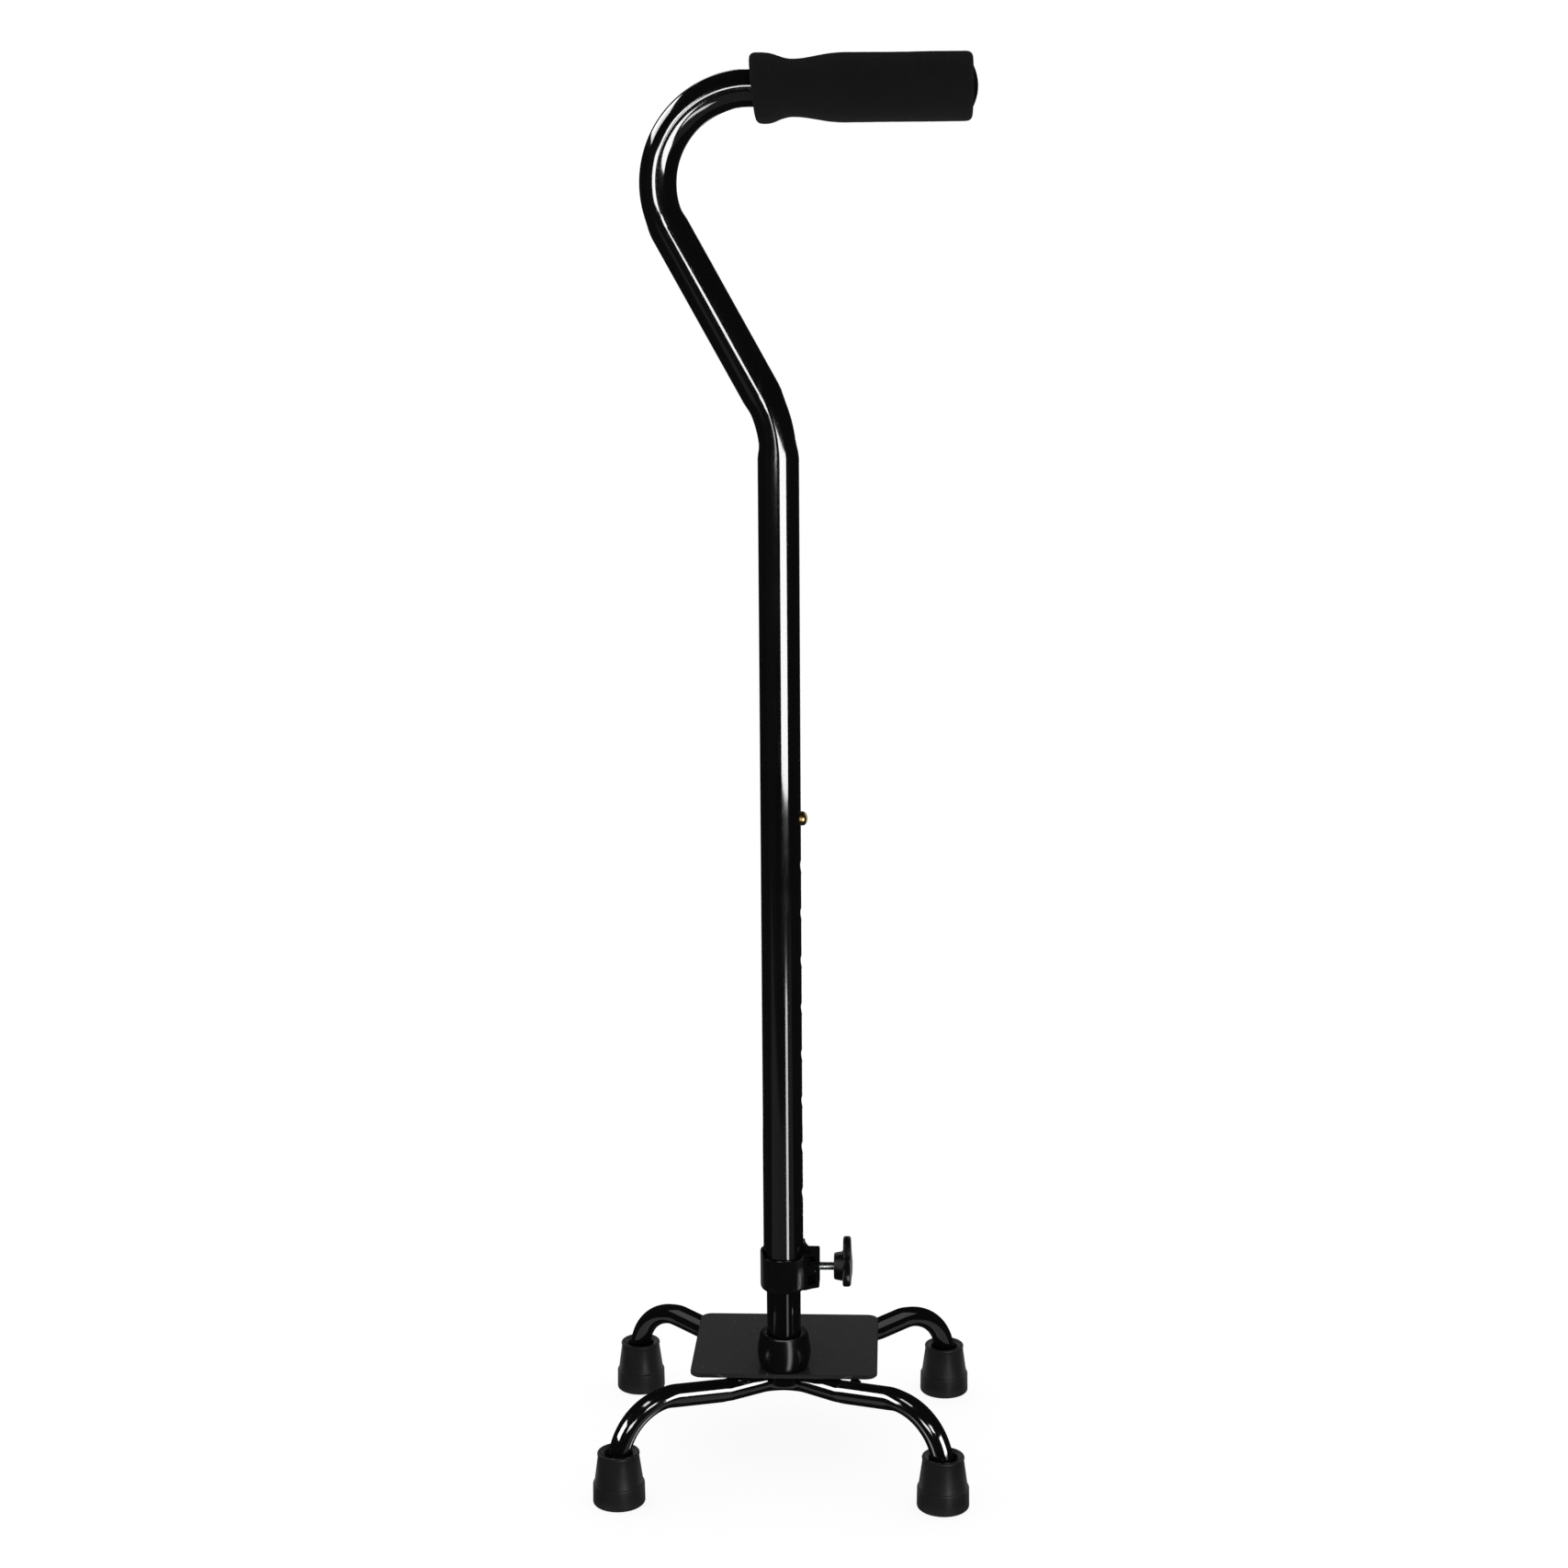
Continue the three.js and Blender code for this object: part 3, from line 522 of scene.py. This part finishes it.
def plate_paint():
    """The plate's flatter dark grey coat, a little uneven, with brighter rubbed edges."""
    look = Look("plate_paint")
    cloud = look.noise(14, detail=4)
    base = look.mix(cloud, grey(0.006), grey(0.009))
    worn = look.spread(look.edges(), 0.52, 0.6)
    dust = look.spread(look.noise(700, detail=1), 0.74, 0.8)
    look.set("Base Color", look.mix(dust, look.mix(worn, base, grey(0.04)), grey(0.12)))
    look.set("Roughness", look.spread(look.noise(150, detail=5), 0.3, 0.7, 0.17, 0.24))
    look.set("Normal", look.bump(look.noise(900, detail=3), 0.02 * MM, 0.3))
    return look.material


def foam():
    """Closed-cell foam rubber: a pitted skin with a dull sheen and cloudy tone."""
    look = Look("foam_rubber", roughness=0.85)
    cloud = look.noise(60, detail=5)
    look.set("Base Color", look.mix(cloud, grey(0.0054), grey(0.0076, -0.0002)))
    look.set("Roughness", look.spread(look.noise(500), 0.3, 0.7, 0.72, 0.95))
    look.set("Specular IOR Level", 0.2)
    look.set("Sheen Weight", 0.02)
    look.set("Sheen Roughness", 0.6)
    grain = look.bump(look.noise(1300, detail=4, roughness=0.7), 0.25 * MM, 0.7)
    look.set("Normal", look.bump(look.cells(1500), 0.12 * MM, 0.5, under=grain))
    return look.material


def rubber():
    """Moulded black rubber: satin, dusty low down, with a fine grain."""
    look = Look("tip_rubber")
    cloud = look.noise(90, detail=5)
    base = look.mix(cloud, grey(0.0092), grey(0.0138, -0.0003))
    low_down = look.spread(look.height(), 0.0, 6 * MM, 1.0, 0.0)
    dust = look.combine("MULTIPLY", low_down, look.noise(240, detail=4))
    look.set("Base Color", look.mix(dust, base, grey(0.03, 0.002)))
    look.set("Roughness", look.spread(cloud, 0.3, 0.7, 0.4, 0.52))
    grain = look.bump(look.noise(1600, detail=3), 0.05 * MM, 0.5)
    look.set("Normal", look.bump(look.noise(160, detail=2), 0.1 * MM, 0.35, under=grain))
    return look.material


def black_plastic():
    """Injection-moulded nylon: satin black with a fine grain and paler handled patches."""
    look = Look("black_plastic")
    cloud = look.noise(120, detail=4)
    base = look.mix(cloud, grey(0.0026), grey(0.004, -0.0001))
    worn = look.spread(look.noise(40, detail=6), 0.6, 0.75, 0.0, 0.5)
    look.set("Base Color", look.mix(worn, base, grey(0.014)))
    look.set("Roughness", look.spread(look.noise(420, detail=4), 0.3, 0.7, 0.26, 0.4))
    look.set("Normal", look.bump(look.noise(2200, detail=2), 0.03 * MM, 0.4))
    return look.material


def white_plastic():
    """Plain white acetal for the guide inside the tubes."""
    look = Look("white_plastic")
    look.set("Base Color", look.mix(look.noise(200), grey(0.62, 0.01), grey(0.7, 0.02)))
    look.set("Roughness", look.spread(look.noise(600), 0.3, 0.7, 0.38, 0.5))
    look.set("Normal", look.bump(look.noise(1800), 0.03 * MM, 0.3))
    return look.material


def plating(name, tone, warm, roughness):
    """Bright plated or rolled metal with fine drawing marks and darker patches."""
    look = Look(name, metallic=1.0)
    cloud = look.noise(300, detail=5)
    dull = tuple(0.72 * c for c in grey(tone, warm)[:3]) + (1.0,)
    look.set("Base Color", look.mix(cloud, grey(tone, warm), dull))
    look.set("Roughness", look.spread(cloud, 0.3, 0.7, roughness, roughness + 0.12))
    marks = look.noise(1800, detail=2, stretch=(0.15, 1, 1))
    look.set("Normal", look.bump(marks, 0.02 * MM, 0.4))
    return look.material


def brass():
    """Polished yellow brass, slightly tarnished in patches."""
    look = Look("brass", metallic=1.0)
    tarnish = look.noise(420, detail=5)
    look.set("Base Color", look.mix(tarnish, (0.86, 0.64, 0.25, 1), (0.55, 0.37, 0.12, 1)))
    look.set("Roughness", look.spread(tarnish, 0.3, 0.7, 0.14, 0.3))
    look.set("Normal", look.bump(look.noise(2400), 0.02 * MM, 0.3))
    return look.material


PAINT = black_paint("gloss_black_paint", 0.05)
SATIN = black_paint("satin_black_paint", 0.22)
PLATE = plate_paint()
FOAM = foam()
RUBBER = rubber()
PLASTIC = black_plastic()
WHITE = white_plastic()
ZINC = plating("zinc_plating", 0.66, -0.01, 0.2)
# painted shade: near-black plating for the captive nut, standing in for the shade in the collar's
# pocket
NUT_PAINTED_SHADE = plating("nut_painted_shade", 0.03, 0, 0.35)
SPRING = plating("spring_steel", 0.42, -0.01, 0.3)
BRASS = brass()


# ---- CAD meshes that stay -------------------------------------------------------------------


def finish_node(node, material, bevel=0.0):
    """Gives a CAD node its material and smooth shading; its vertices stay where they are."""
    piece = frame["nodes"][node]
    mesh = piece.data
    mesh.materials.clear()
    mesh.materials.append(material)
    if "custom_normal" in mesh.attributes:
        mesh.attributes.remove(mesh.attributes["custom_normal"])
    mesh.shade_smooth()
    weld = piece.modifiers.new("weld", "WELD")
    weld.merge_threshold = SAME_SPOT
    if bevel:
        soften = piece.modifiers.new("soften", "BEVEL")
        soften.width = bevel
        soften.segments = 3
        soften.limit_method = "ANGLE"
        soften.angle_limit = SMOOTH_BELOW
        soften.harden_normals = False
    split = piece.modifiers.new("split", "EDGE_SPLIT")
    split.split_angle = SMOOTH_BELOW


# ---- the handle -----------------------------------------------------------------------------


def cutter(centre, radius, reach):
    """A short bar along X that cuts one hole."""
    bm = bmesh.new()
    turn = Matrix.Rotation(math.pi / 2, 4, "Y")
    place = Matrix.Translation(centre + Vector((reach / 2, 0, 0))) @ turn
    bmesh.ops.create_cone(
        bm, cap_ends=True, segments=40, radius1=radius, radius2=radius, depth=reach, matrix=place
    )
    mesh = bpy.data.meshes.new("cutter")
    bm.to_mesh(mesh)
    bm.free()
    bar = bpy.data.objects.new("cutter", mesh)
    bpy.context.scene.collection.objects.link(bar)
    return bar


def cut(bm, bars):
    """The mesh with the bars taken out of it; the bars are used up."""
    mesh = bpy.data.meshes.new("blank")
    bmesh.ops.recalc_face_normals(bm, faces=bm.faces)
    bm.to_mesh(mesh)
    bm.free()
    blank = bpy.data.objects.new("blank", mesh)
    bpy.context.scene.collection.objects.link(blank)
    for bar in bars:
        step = blank.modifiers.new("cut", "BOOLEAN")
        step.operation = "DIFFERENCE"
        step.solver = "EXACT"
        step.object = bar
    graph = bpy.context.evaluated_depsgraph_get()
    result = bmesh.new()
    result.from_object(blank, graph)
    for used in [blank, *bars]:
        bpy.data.objects.remove(used)
    return result


def upper_tube():
    """The bent handle tube, with a row of holes for the button and one for the screw."""
    radius = middle("lower_tube").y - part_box("upper_tube")[0].y
    bm = tube(handle_sections(), radius, UPPER_WALL, sides=96, flatten=NECK_FLATTEN, slim=NECK_SLIM)
    bars = []
    for i in range(HOLE_COUNT):
        centre = SHAFT + Vector((radius / 2, 0, BUTTON_Z - i * HOLE_PITCH))
        bars.append(cutter(centre, HOLE_R, radius))
    screw_r = middle("thumb_screw_stud").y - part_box("thumb_screw_stud")[0].y
    screw_hole = SHAFT + Vector((radius / 2, 0, SCREW_Z))
    bars.append(cutter(screw_hole, screw_r + SCREW_CLEARANCE, radius))
    drilled = cut(bm, bars)
    add_piece("upper_tube_bent", drilled, PAINT, "upper", "upper_tube")


def foam_grip():
    """The sleeve: the CAD's outline made fine and round-edged, with a slanted inner end and the
    faint lumps of moulded foam."""
    profile, closed = cad_profile("foam_grip", "X")
    outline = resampled(rounded(profile, closed, FOAM_CORNER, steps=5), FOAM_STEP)
    centre = Vector((0, SHAFT.y, GRIP_AXIS_Z))
    bm = turned(outline, True, centre, "X", sides=128)
    inner_x = min(x for _, x in profile)
    bore = min(r for r, _ in profile)
    skin_from = bore + 0.5 * MM  # the bore stays smooth
    for vertex in bm.verts:
        place = vertex.co
        out = Vector((0, place.y - centre.y, place.z - centre.z))
        lump = noise.noise(place * 45) * FOAM_LUMP + noise.noise(place * 260) * FOAM_PIT
        if out.length > skin_from:
            place += out.normalized() * lump
        fade = 1 - smoothstep((place.x - inner_x) / GRIP_SLANT_REACH)
        place.x -= GRIP_SLANT * out.z * fade
    add_piece("foam_grip_sleeve", bm, FOAM, "upper", "foam_grip")


def resampled(outline, step):
    """The closed outline with long stretches split, smoothed once so that it flows."""
    points = [Vector(p) for p in outline]
    made = []
    for i, point in enumerate(points):
        following = points[(i + 1) % len(points)]
        pieces = max(1, round((following - point).length / step))
        made += [point.lerp(following, k / pieces) for k in range(pieces)]
    smooth = []
    for i, point in enumerate(made):
        before, after = made[i - 1], made[(i + 1) % len(made)]
        smooth.append(tuple(point * 0.5 + (before + after) * 0.25))
    return smooth


# ---- thumb screw ----------------------------------------------------------------------------


def thumb_screw_stud():
    """A threaded stud; the thread winds as a ridge in the radius."""
    low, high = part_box("thumb_screw_stud")
    crest = (high.y - low.y) / 2
    centre = middle("thumb_screw_stud")
    sides = 40
    per_turn = 8
    rings_needed = round((high.x - low.x) / THREAD_PITCH * per_turn)
    bm = bmesh.new()
    rings = [add_ring(bm, [(low.x, centre.y, centre.z)])]
    for i in range(rings_needed + 1):
        x = low.x + (high.x - low.x) * i / rings_needed
        end = min(x - low.x, high.x - x)
        points = []
        for k in range(sides):
            turn = k / sides
            wave = abs(((x / THREAD_PITCH - turn) % 1) * 2 - 1)
            r = min(crest - THREAD_DEPTH * wave, crest - STUD_CHAMFER + end)
            a = 2 * math.pi * turn
            points.append((x, centre.y + r * math.cos(a), centre.z + r * math.sin(a)))
        rings.append(add_ring(bm, points))
    rings.append(add_ring(bm, [(high.x, centre.y, centre.z)]))
    skin(bm, rings, closed=False)
    add_piece("thumb_screw_thread", bm, ZINC, "thumb_screw", "thumb_screw_stud")


def thumb_knob():
    """A three-lobed knob: a round neck that opens into a lobed head with a low crown."""
    low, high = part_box("thumb_knob")
    centre = middle("thumb_screw_stud")
    back = low.x
    head = back + KNOB_NECK
    face = head + KNOB_HEAD
    crown = high.x
    bore_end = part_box("thumb_screw_stud")[1].x + KNOB_BORE_SPARE
    # each ring's x, its share of the lobes' height, and its mean radius
    stations = [
        (bore_end, 0, 0.0),
        (bore_end, 0, KNOB_BORE_R),
        (back, 0, KNOB_BORE_R),
        (back, 0, 6.5 * MM),
        (back + 0.2 * MM, 0, 7.1 * MM),
        (back + 0.8 * MM, 0, 7.45 * MM),
        (head - 0.7 * MM, 0, 8.1 * MM),
        (head - 0.1 * MM, 0.06, 8.5 * MM),
        (head, 0.35, 9.2 * MM),
        (head + 0.05 * MM, 0.9, KNOB_MEAN_R - 1.2 * MM),
        (head + 0.35 * MM, 1, KNOB_MEAN_R - 0.45 * MM),
        (head + 0.95 * MM, 1, KNOB_MEAN_R - 0.05 * MM),
        (head + 2.2 * MM, 1, KNOB_MEAN_R),
        (face - 1.0 * MM, 1, KNOB_MEAN_R - 0.05 * MM),
        (face - 0.3 * MM, 1, KNOB_MEAN_R - 0.5 * MM),
        (face, 0.97, KNOB_MEAN_R - 1.4 * MM),
        (face + 0.12 * MM, 0.8, KNOB_MEAN_R - 3.2 * MM),
        (face + 0.3 * MM, 0.4, 7.4 * MM),
        (crown - 0.3 * MM, 0.05, 5.5 * MM),
        (crown - 0.05 * MM, 0, 2.6 * MM),
        (crown, 0, 0.0),
    ]
    bm = bmesh.new()
    rings = []
    sides = 120
    for x, share, radius in stations:
        points = []
        for k in range(sides if radius > 0 else 1):
            a = 2 * math.pi * k / sides
            r = radius + share * KNOB_LOBE * math.cos(KNOB_LOBES * (a - KNOB_TURN))
            points.append((x, centre.y + r * math.sin(a), centre.z + r * math.cos(a)))
        rings.append(add_ring(bm, points))
    skin(bm, rings, closed=False)
    add_piece("thumb_knob_lobed", bm, PLASTIC, "thumb_screw", "thumb_knob")


# ---- base -----------------------------------------------------------------------------------


def leg_tubes():
    front = leg_sections(
        "front_leg_tube", "rubber_tip_front_right",
        FRONT_BEND_Z, FRONT_BEND_R, FRONT_RISE_X, FRONT_APEX_Y, FRONT_APEX_R,
    )
    rear = leg_sections(
        "rear_leg_tube", "rubber_tip_rear_right",
        REAR_BEND_Z, REAR_BEND_R, REAR_RISE_X, REAR_APEX_Y, REAR_APEX_R,
    )
    for node, sections in (("front_leg_tube", front), ("rear_leg_tube", rear)):
        bm = tube(sections, LEG_R, LEG_WALL, sides=64, flatten=LEG_FLATTEN)
        add_piece(node + "_bent", bm, PAINT, "base", node)


def weld_bead(node):
    """A lumpy run of weld: the CAD's bead, made fine and rippled."""
    source = frame["nodes"][node].data
    bm = bmesh.new()
    bm.from_mesh(source)
    bmesh.ops.remove_doubles(bm, verts=bm.verts, dist=SAME_SPOT)
    bmesh.ops.subdivide_edges(bm, edges=bm.edges, cuts=3, use_grid_fill=True)
    for _ in range(2):
        bmesh.ops.smooth_vert(
            bm, verts=bm.verts, factor=0.4, use_axis_x=True, use_axis_y=True, use_axis_z=True
        )
    centre = middle(node)
    for vertex in bm.verts:
        out = (vertex.co - centre).normalized()
        ripple = WELD_RIPPLE * math.sin(vertex.co.x / MM * WELD_PHASE_PER_MM)
        vertex.co += out * (ripple - WELD_SINK)
    add_piece(node + "_rippled", bm, PAINT, "base", node)


# ---- build ----------------------------------------------------------------------------------

upper_tube()
foam_grip()
turned_piece("grip_end_plug", "X", 0.5 * MM, PLASTIC, "upper")
turned_piece("lower_tube", "Z", 0.2 * MM, PAINT, "base")
turned_piece("snap_button", "X", 0.3 * MM, BRASS, "button")
turned_piece("hub_socket", "Z", 0.6 * MM, SATIN, "base")
for end in ("front", "rear"):
    for hand in ("left", "right"):
        turned_piece(f"rubber_tip_{end}_{hand}", "Z", 0.6 * MM, RUBBER, "base")
        finish_node(f"tip_disc_{end}_{hand}", ZINC)
thumb_screw_stud()
thumb_knob()
leg_tubes()
weld_bead("weld_bead_left")
weld_bead("weld_bead_right")
finish_node("base_plate", PLATE)
finish_node("hub_foot", PAINT)
finish_node("locking_collar", PLASTIC, bevel=0.25 * MM)
# painted shade: the nut is coloured near black so that its pocket in the collar reads dark
finish_node("captive_nut", NUT_PAINTED_SHADE)
finish_node("screw_tip_pad", BRASS)
finish_node("tube_guide", WHITE)
finish_node("button_spring", SPRING)


# ---- studio ---------------------------------------------------------------------------------

CAMERA_RANGE = 1.314  # from the shaft's axis
CAMERA_HEIGHT = 0.616
CAMERA_YAW = math.radians(2.6)
CAMERA_PITCH = math.radians(9.8)
CAMERA_ROLL = math.radians(0.36)
CAMERA_SIDE = 1.9 * MM
CAMERA_LENS = 56.77
CAMERA_SENSOR = 36

# the brightness of the surroundings, for what the camera sees, for reflections and for the rest
WORLD_SEEN = 1.0
WORLD_REFLECTED = 0.012
WORLD_LIGHTING = 0.75

FLOOR_HALF_WIDTH = 6
FLOOR_DROP = 0.2 * MM  # below the treads
FLOOR_TONE = 0.9
FLOOR_GLOW = 1.1
FLOOR_GLOW_SHARE = 0.8

PANEL_RANGE = 2.5
NEAR_PANEL_RANGE = 1.0
DAZZLING = 24  # a panel's radiance that black gloss reflects as all but white

# heights on the shaft's axis from which the panels' directions are measured
NECK_Z = 0.65
RAIL_Z = 0.32
FOOT_Z = 0.05


def by_ray(tree, camera_value, glossy_value, other_value):
    """A number that differs for camera rays, reflections and everything else."""
    path = tree.nodes.new("ShaderNodeLightPath")
    is_glossy = tree.nodes.new("ShaderNodeMix")
    is_glossy.inputs["A"].default_value = other_value
    is_glossy.inputs["B"].default_value = glossy_value
    tree.links.new(path.outputs["Is Glossy Ray"], is_glossy.inputs["Factor"])
    is_camera = tree.nodes.new("ShaderNodeMix")
    is_camera.inputs["B"].default_value = camera_value
    tree.links.new(is_glossy.outputs["Result"], is_camera.inputs["A"])
    tree.links.new(path.outputs["Is Camera Ray"], is_camera.inputs["Factor"])
    return is_camera.outputs["Result"]


def surroundings():
    """White to the eye and for soft light, dark in reflections, as between black flags."""
    world = bpy.data.worlds.new("studio")
    world.use_nodes = True
    backdrop = world.node_tree.nodes["Background"]
    backdrop.inputs["Color"].default_value = (1, 1, 1, 1)
    strength = by_ray(world.node_tree, WORLD_SEEN, WORLD_REFLECTED, WORLD_LIGHTING)
    world.node_tree.links.new(strength, backdrop.inputs["Strength"])
    bpy.context.scene.world = world


def floor():
    """A pale floor that mostly glows by itself, so it stays even and takes only faint shadows."""
    bm = bmesh.new()
    bmesh.ops.create_grid(bm, x_segments=8, y_segments=8, size=FLOOR_HALF_WIDTH)
    mesh = bpy.data.meshes.new("floor")
    bm.to_mesh(mesh)
    bm.free()
    ground = bpy.data.objects.new("floor", mesh)
    ground.location.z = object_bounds()[0].z - FLOOR_DROP
    bpy.context.scene.collection.objects.link(ground)
    ground.visible_glossy = False
    material = bpy.data.materials.new("pale_floor")
    material.use_nodes = True
    tree = material.node_tree
    shader = tree.nodes["Principled BSDF"]
    shader.inputs["Base Color"].default_value = grey(FLOOR_TONE)
    shader.inputs["Roughness"].default_value = 0.9
    glow = tree.nodes.new("ShaderNodeEmission")
    glow.inputs["Strength"].default_value = FLOOR_GLOW
    share = tree.nodes.new("ShaderNodeMixShader")
    share.inputs["Fac"].default_value = FLOOR_GLOW_SHARE
    tree.links.new(shader.outputs["BSDF"], share.inputs[1])
    tree.links.new(glow.outputs["Emission"], share.inputs[2])
    tree.links.new(share.outputs["Shader"], tree.nodes["Material Output"].inputs["Surface"])
    mesh.materials.append(material)
    ground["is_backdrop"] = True


def softbox(name, azimuth, elevation, width, height, radiance, seen_from, only, reach=PANEL_RANGE):
    """A soft panel that shows as a highlight in gloss and casts no flat light. Its direction and
    its width and height are angles in degrees, as seen from the shaft's axis at the height
    seen_from; it hangs at the distance reach from there. Azimuth 0 is the front and 90 is +X.
    Only the given pieces reflect it."""
    a = math.radians(azimuth)
    e = math.radians(elevation)
    towards = Vector((math.sin(a) * math.cos(e), -math.cos(a) * math.cos(e), math.sin(e)))
    data = bpy.data.lights.new(name, "AREA")
    data.shape = "RECTANGLE"
    data.size = 2 * reach * math.tan(math.radians(width) / 2)
    data.size_y = 2 * reach * math.tan(math.radians(height) / 2)
    data.energy = radiance * math.pi * data.size * data.size_y
    lamp = bpy.data.objects.new(name, data)
    lamp.location = SHAFT + Vector((0, 0, seen_from)) + towards * reach
    lamp.rotation_euler = towards.to_track_quat("Z", "Y").to_euler()
    lamp.visible_diffuse = False
    bpy.context.scene.collection.objects.link(lamp)
    lit = bpy.data.collections.new(name + "_lights")
    for piece in only:
        lit.objects.link(piece)
    lamp.light_linking.receiver_collection = lit


def studio_lights():
    """Panels that each show in the gloss of some pieces, set for the front view. Four small ones
    beside the camera draw the thin line along the handle's neck and bend. A wide and a narrow one
    on the right draw the streak on the shaft. One on each side and small ones above draw the
    front legs' highlights. The dim ones shape edges that would otherwise be flat black."""
    pieces = bpy.data.objects
    handle = [pieces["upper_tube_bent"]]
    lower = [pieces["lower_tube_turned"]]
    shaft = handle + lower
    hub = [pieces["hub_socket_turned"]]
    front_legs = [pieces["front_leg_tube_bent"]]
    rear_legs = [pieces["rear_leg_tube_bent"]]
    legs = front_legs + rear_legs
    plate = [pieces["base_plate"]]
    tips = [p for p in pieces if p.name.startswith("rubber_tip") and p.name.endswith("_turned")]
    lock = [pieces["locking_collar"], pieces["hub_foot"]]
    nut = [pieces["captive_nut"]]
    stud = [pieces["thumb_screw_thread"]]
    knob = stud + [pieces["thumb_knob_lobed"], pieces["snap_button_turned"]]
    # the name, azimuth, elevation, width, height, radiance, where it is seen from, the pieces
    softbox("left_high", -109, 34, 42, 20, 12, GRIP_AXIS_Z, handle)
    softbox("line_side", -23, 4, 19, 14, DAZZLING, GRIP_AXIS_Z, handle)
    softbox("line_neck", -11.5, -3, 11, 8, DAZZLING, NECK_Z, handle, reach=NEAR_PANEL_RANGE)
    softbox("line_corner", -18, 14.5, 11, 7, DAZZLING, GRIP_AXIS_Z, handle)
    softbox("line_top", -6, 8.5, 8, 7, DAZZLING, GRIP_AXIS_Z, handle)
    softbox("right_wide", 27, -10, 35, 16, DAZZLING, GRIP_AXIS_Z, handle)
    softbox("right_low", 28, -27, 11, 24, 14, RAIL_Z, handle)
    softbox("right_foot", 28, -27, 11, 24, 1.8, RAIL_Z, lower)
    softbox("left_dim", -50, 0, 50, 60, 0.02, RAIL_Z, shaft)
    softbox("knob_right", 28, -10, 20, 40, 10, RAIL_Z, knob)
    softbox("knob_left", -60, 20, 30, 60, 1.2, RAIL_Z, knob)
    softbox("hub_strip", 27, 0, 14, 110, 5, FOOT_Z, hub)
    softbox("tips_strip", 27, 5, 16, 70, 4.5, FOOT_Z, tips)
    softbox("legs_left", -74, 25, 32, 24, 26, FOOT_Z, front_legs)
    softbox("legs_right", 68, 13, 26, 24, 26, FOOT_Z, front_legs)
    softbox("bend_left", 31, 38, 14, 12, DAZZLING, FOOT_Z, front_legs)
    softbox("bend_top", -50, 75, 20, 10, 16, FOOT_Z, front_legs)
    softbox("bend_right", -8, 27, 22, 12, 20, FOOT_Z, front_legs)
    softbox("tip_end_left", -54, -22, 14, 14, 6, FOOT_Z, front_legs)
    softbox("tip_end_right", 98, -42, 15, 16, 6, FOOT_Z, front_legs)
    softbox("table", 0, -50, 120, 70, 0.5, FOOT_Z, legs)
    softbox("table_handle", 0, -50, 120, 70, 0.2, FOOT_Z, handle)
    softbox("rear_top", 0, 70, 100, 60, 1.2, FOOT_Z, rear_legs)
    softbox("behind_plate", 180, 24, 70, 30, 0.085, FOOT_Z, plate)
    softbox("edge_left", -140, 10, 60, 70, 0.5, FOOT_Z, tips + knob)
    softbox("edge_right", 140, 10, 60, 70, 0.5, FOOT_Z, tips + knob)
    softbox("lock_left", -140, 10, 60, 70, 0.25, FOOT_Z, lock)
    softbox("lock_edges", 90, -5, 14, 60, 6, RAIL_Z, lock)
    softbox("nut_front", -3, -20, 40, 40, 0.25, RAIL_Z, nut)
    softbox("hub_rim", 0, 74, 50, 44, 3, FOOT_Z, hub)
    softbox("stud_front", 0, 0, 70, 50, 1.4, RAIL_Z, stud)
    softbox("behind_hub", 180, 24, 24, 16, 0.085, FOOT_Z, hub)
    softbox("behind_shaft", 180, 5, 10, 70, 4, RAIL_Z, shaft)
    softbox("behind_left", -165, 10, 14, 60, 1.5, RAIL_Z, shaft)
    softbox("behind_right", 165, 10, 14, 60, 1.5, RAIL_Z, shaft)


def camera():
    """In front of the shaft, a little to its right, looking down on the cane."""
    data = bpy.data.cameras.new("camera")
    data.lens = CAMERA_LENS
    data.sensor_width = CAMERA_SENSOR
    eye = bpy.data.objects.new("camera", data)
    away = Vector((math.sin(CAMERA_YAW), -math.cos(CAMERA_YAW), 0)) * CAMERA_RANGE
    place = SHAFT + away + Vector((CAMERA_SIDE, 0, CAMERA_HEIGHT))
    yaw = Matrix.Rotation(CAMERA_YAW, 4, "Z")
    pitch = Matrix.Rotation(math.pi / 2 - CAMERA_PITCH, 4, "X")
    roll = Matrix.Rotation(-CAMERA_ROLL, 4, "Z")
    eye.matrix_world = Matrix.Translation(place) @ yaw @ pitch @ roll
    bpy.context.scene.collection.objects.link(eye)
    bpy.context.scene.camera = eye


surroundings()
floor()
studio_lights()
camera()
bpy.context.scene.view_settings.view_transform = "Standard"
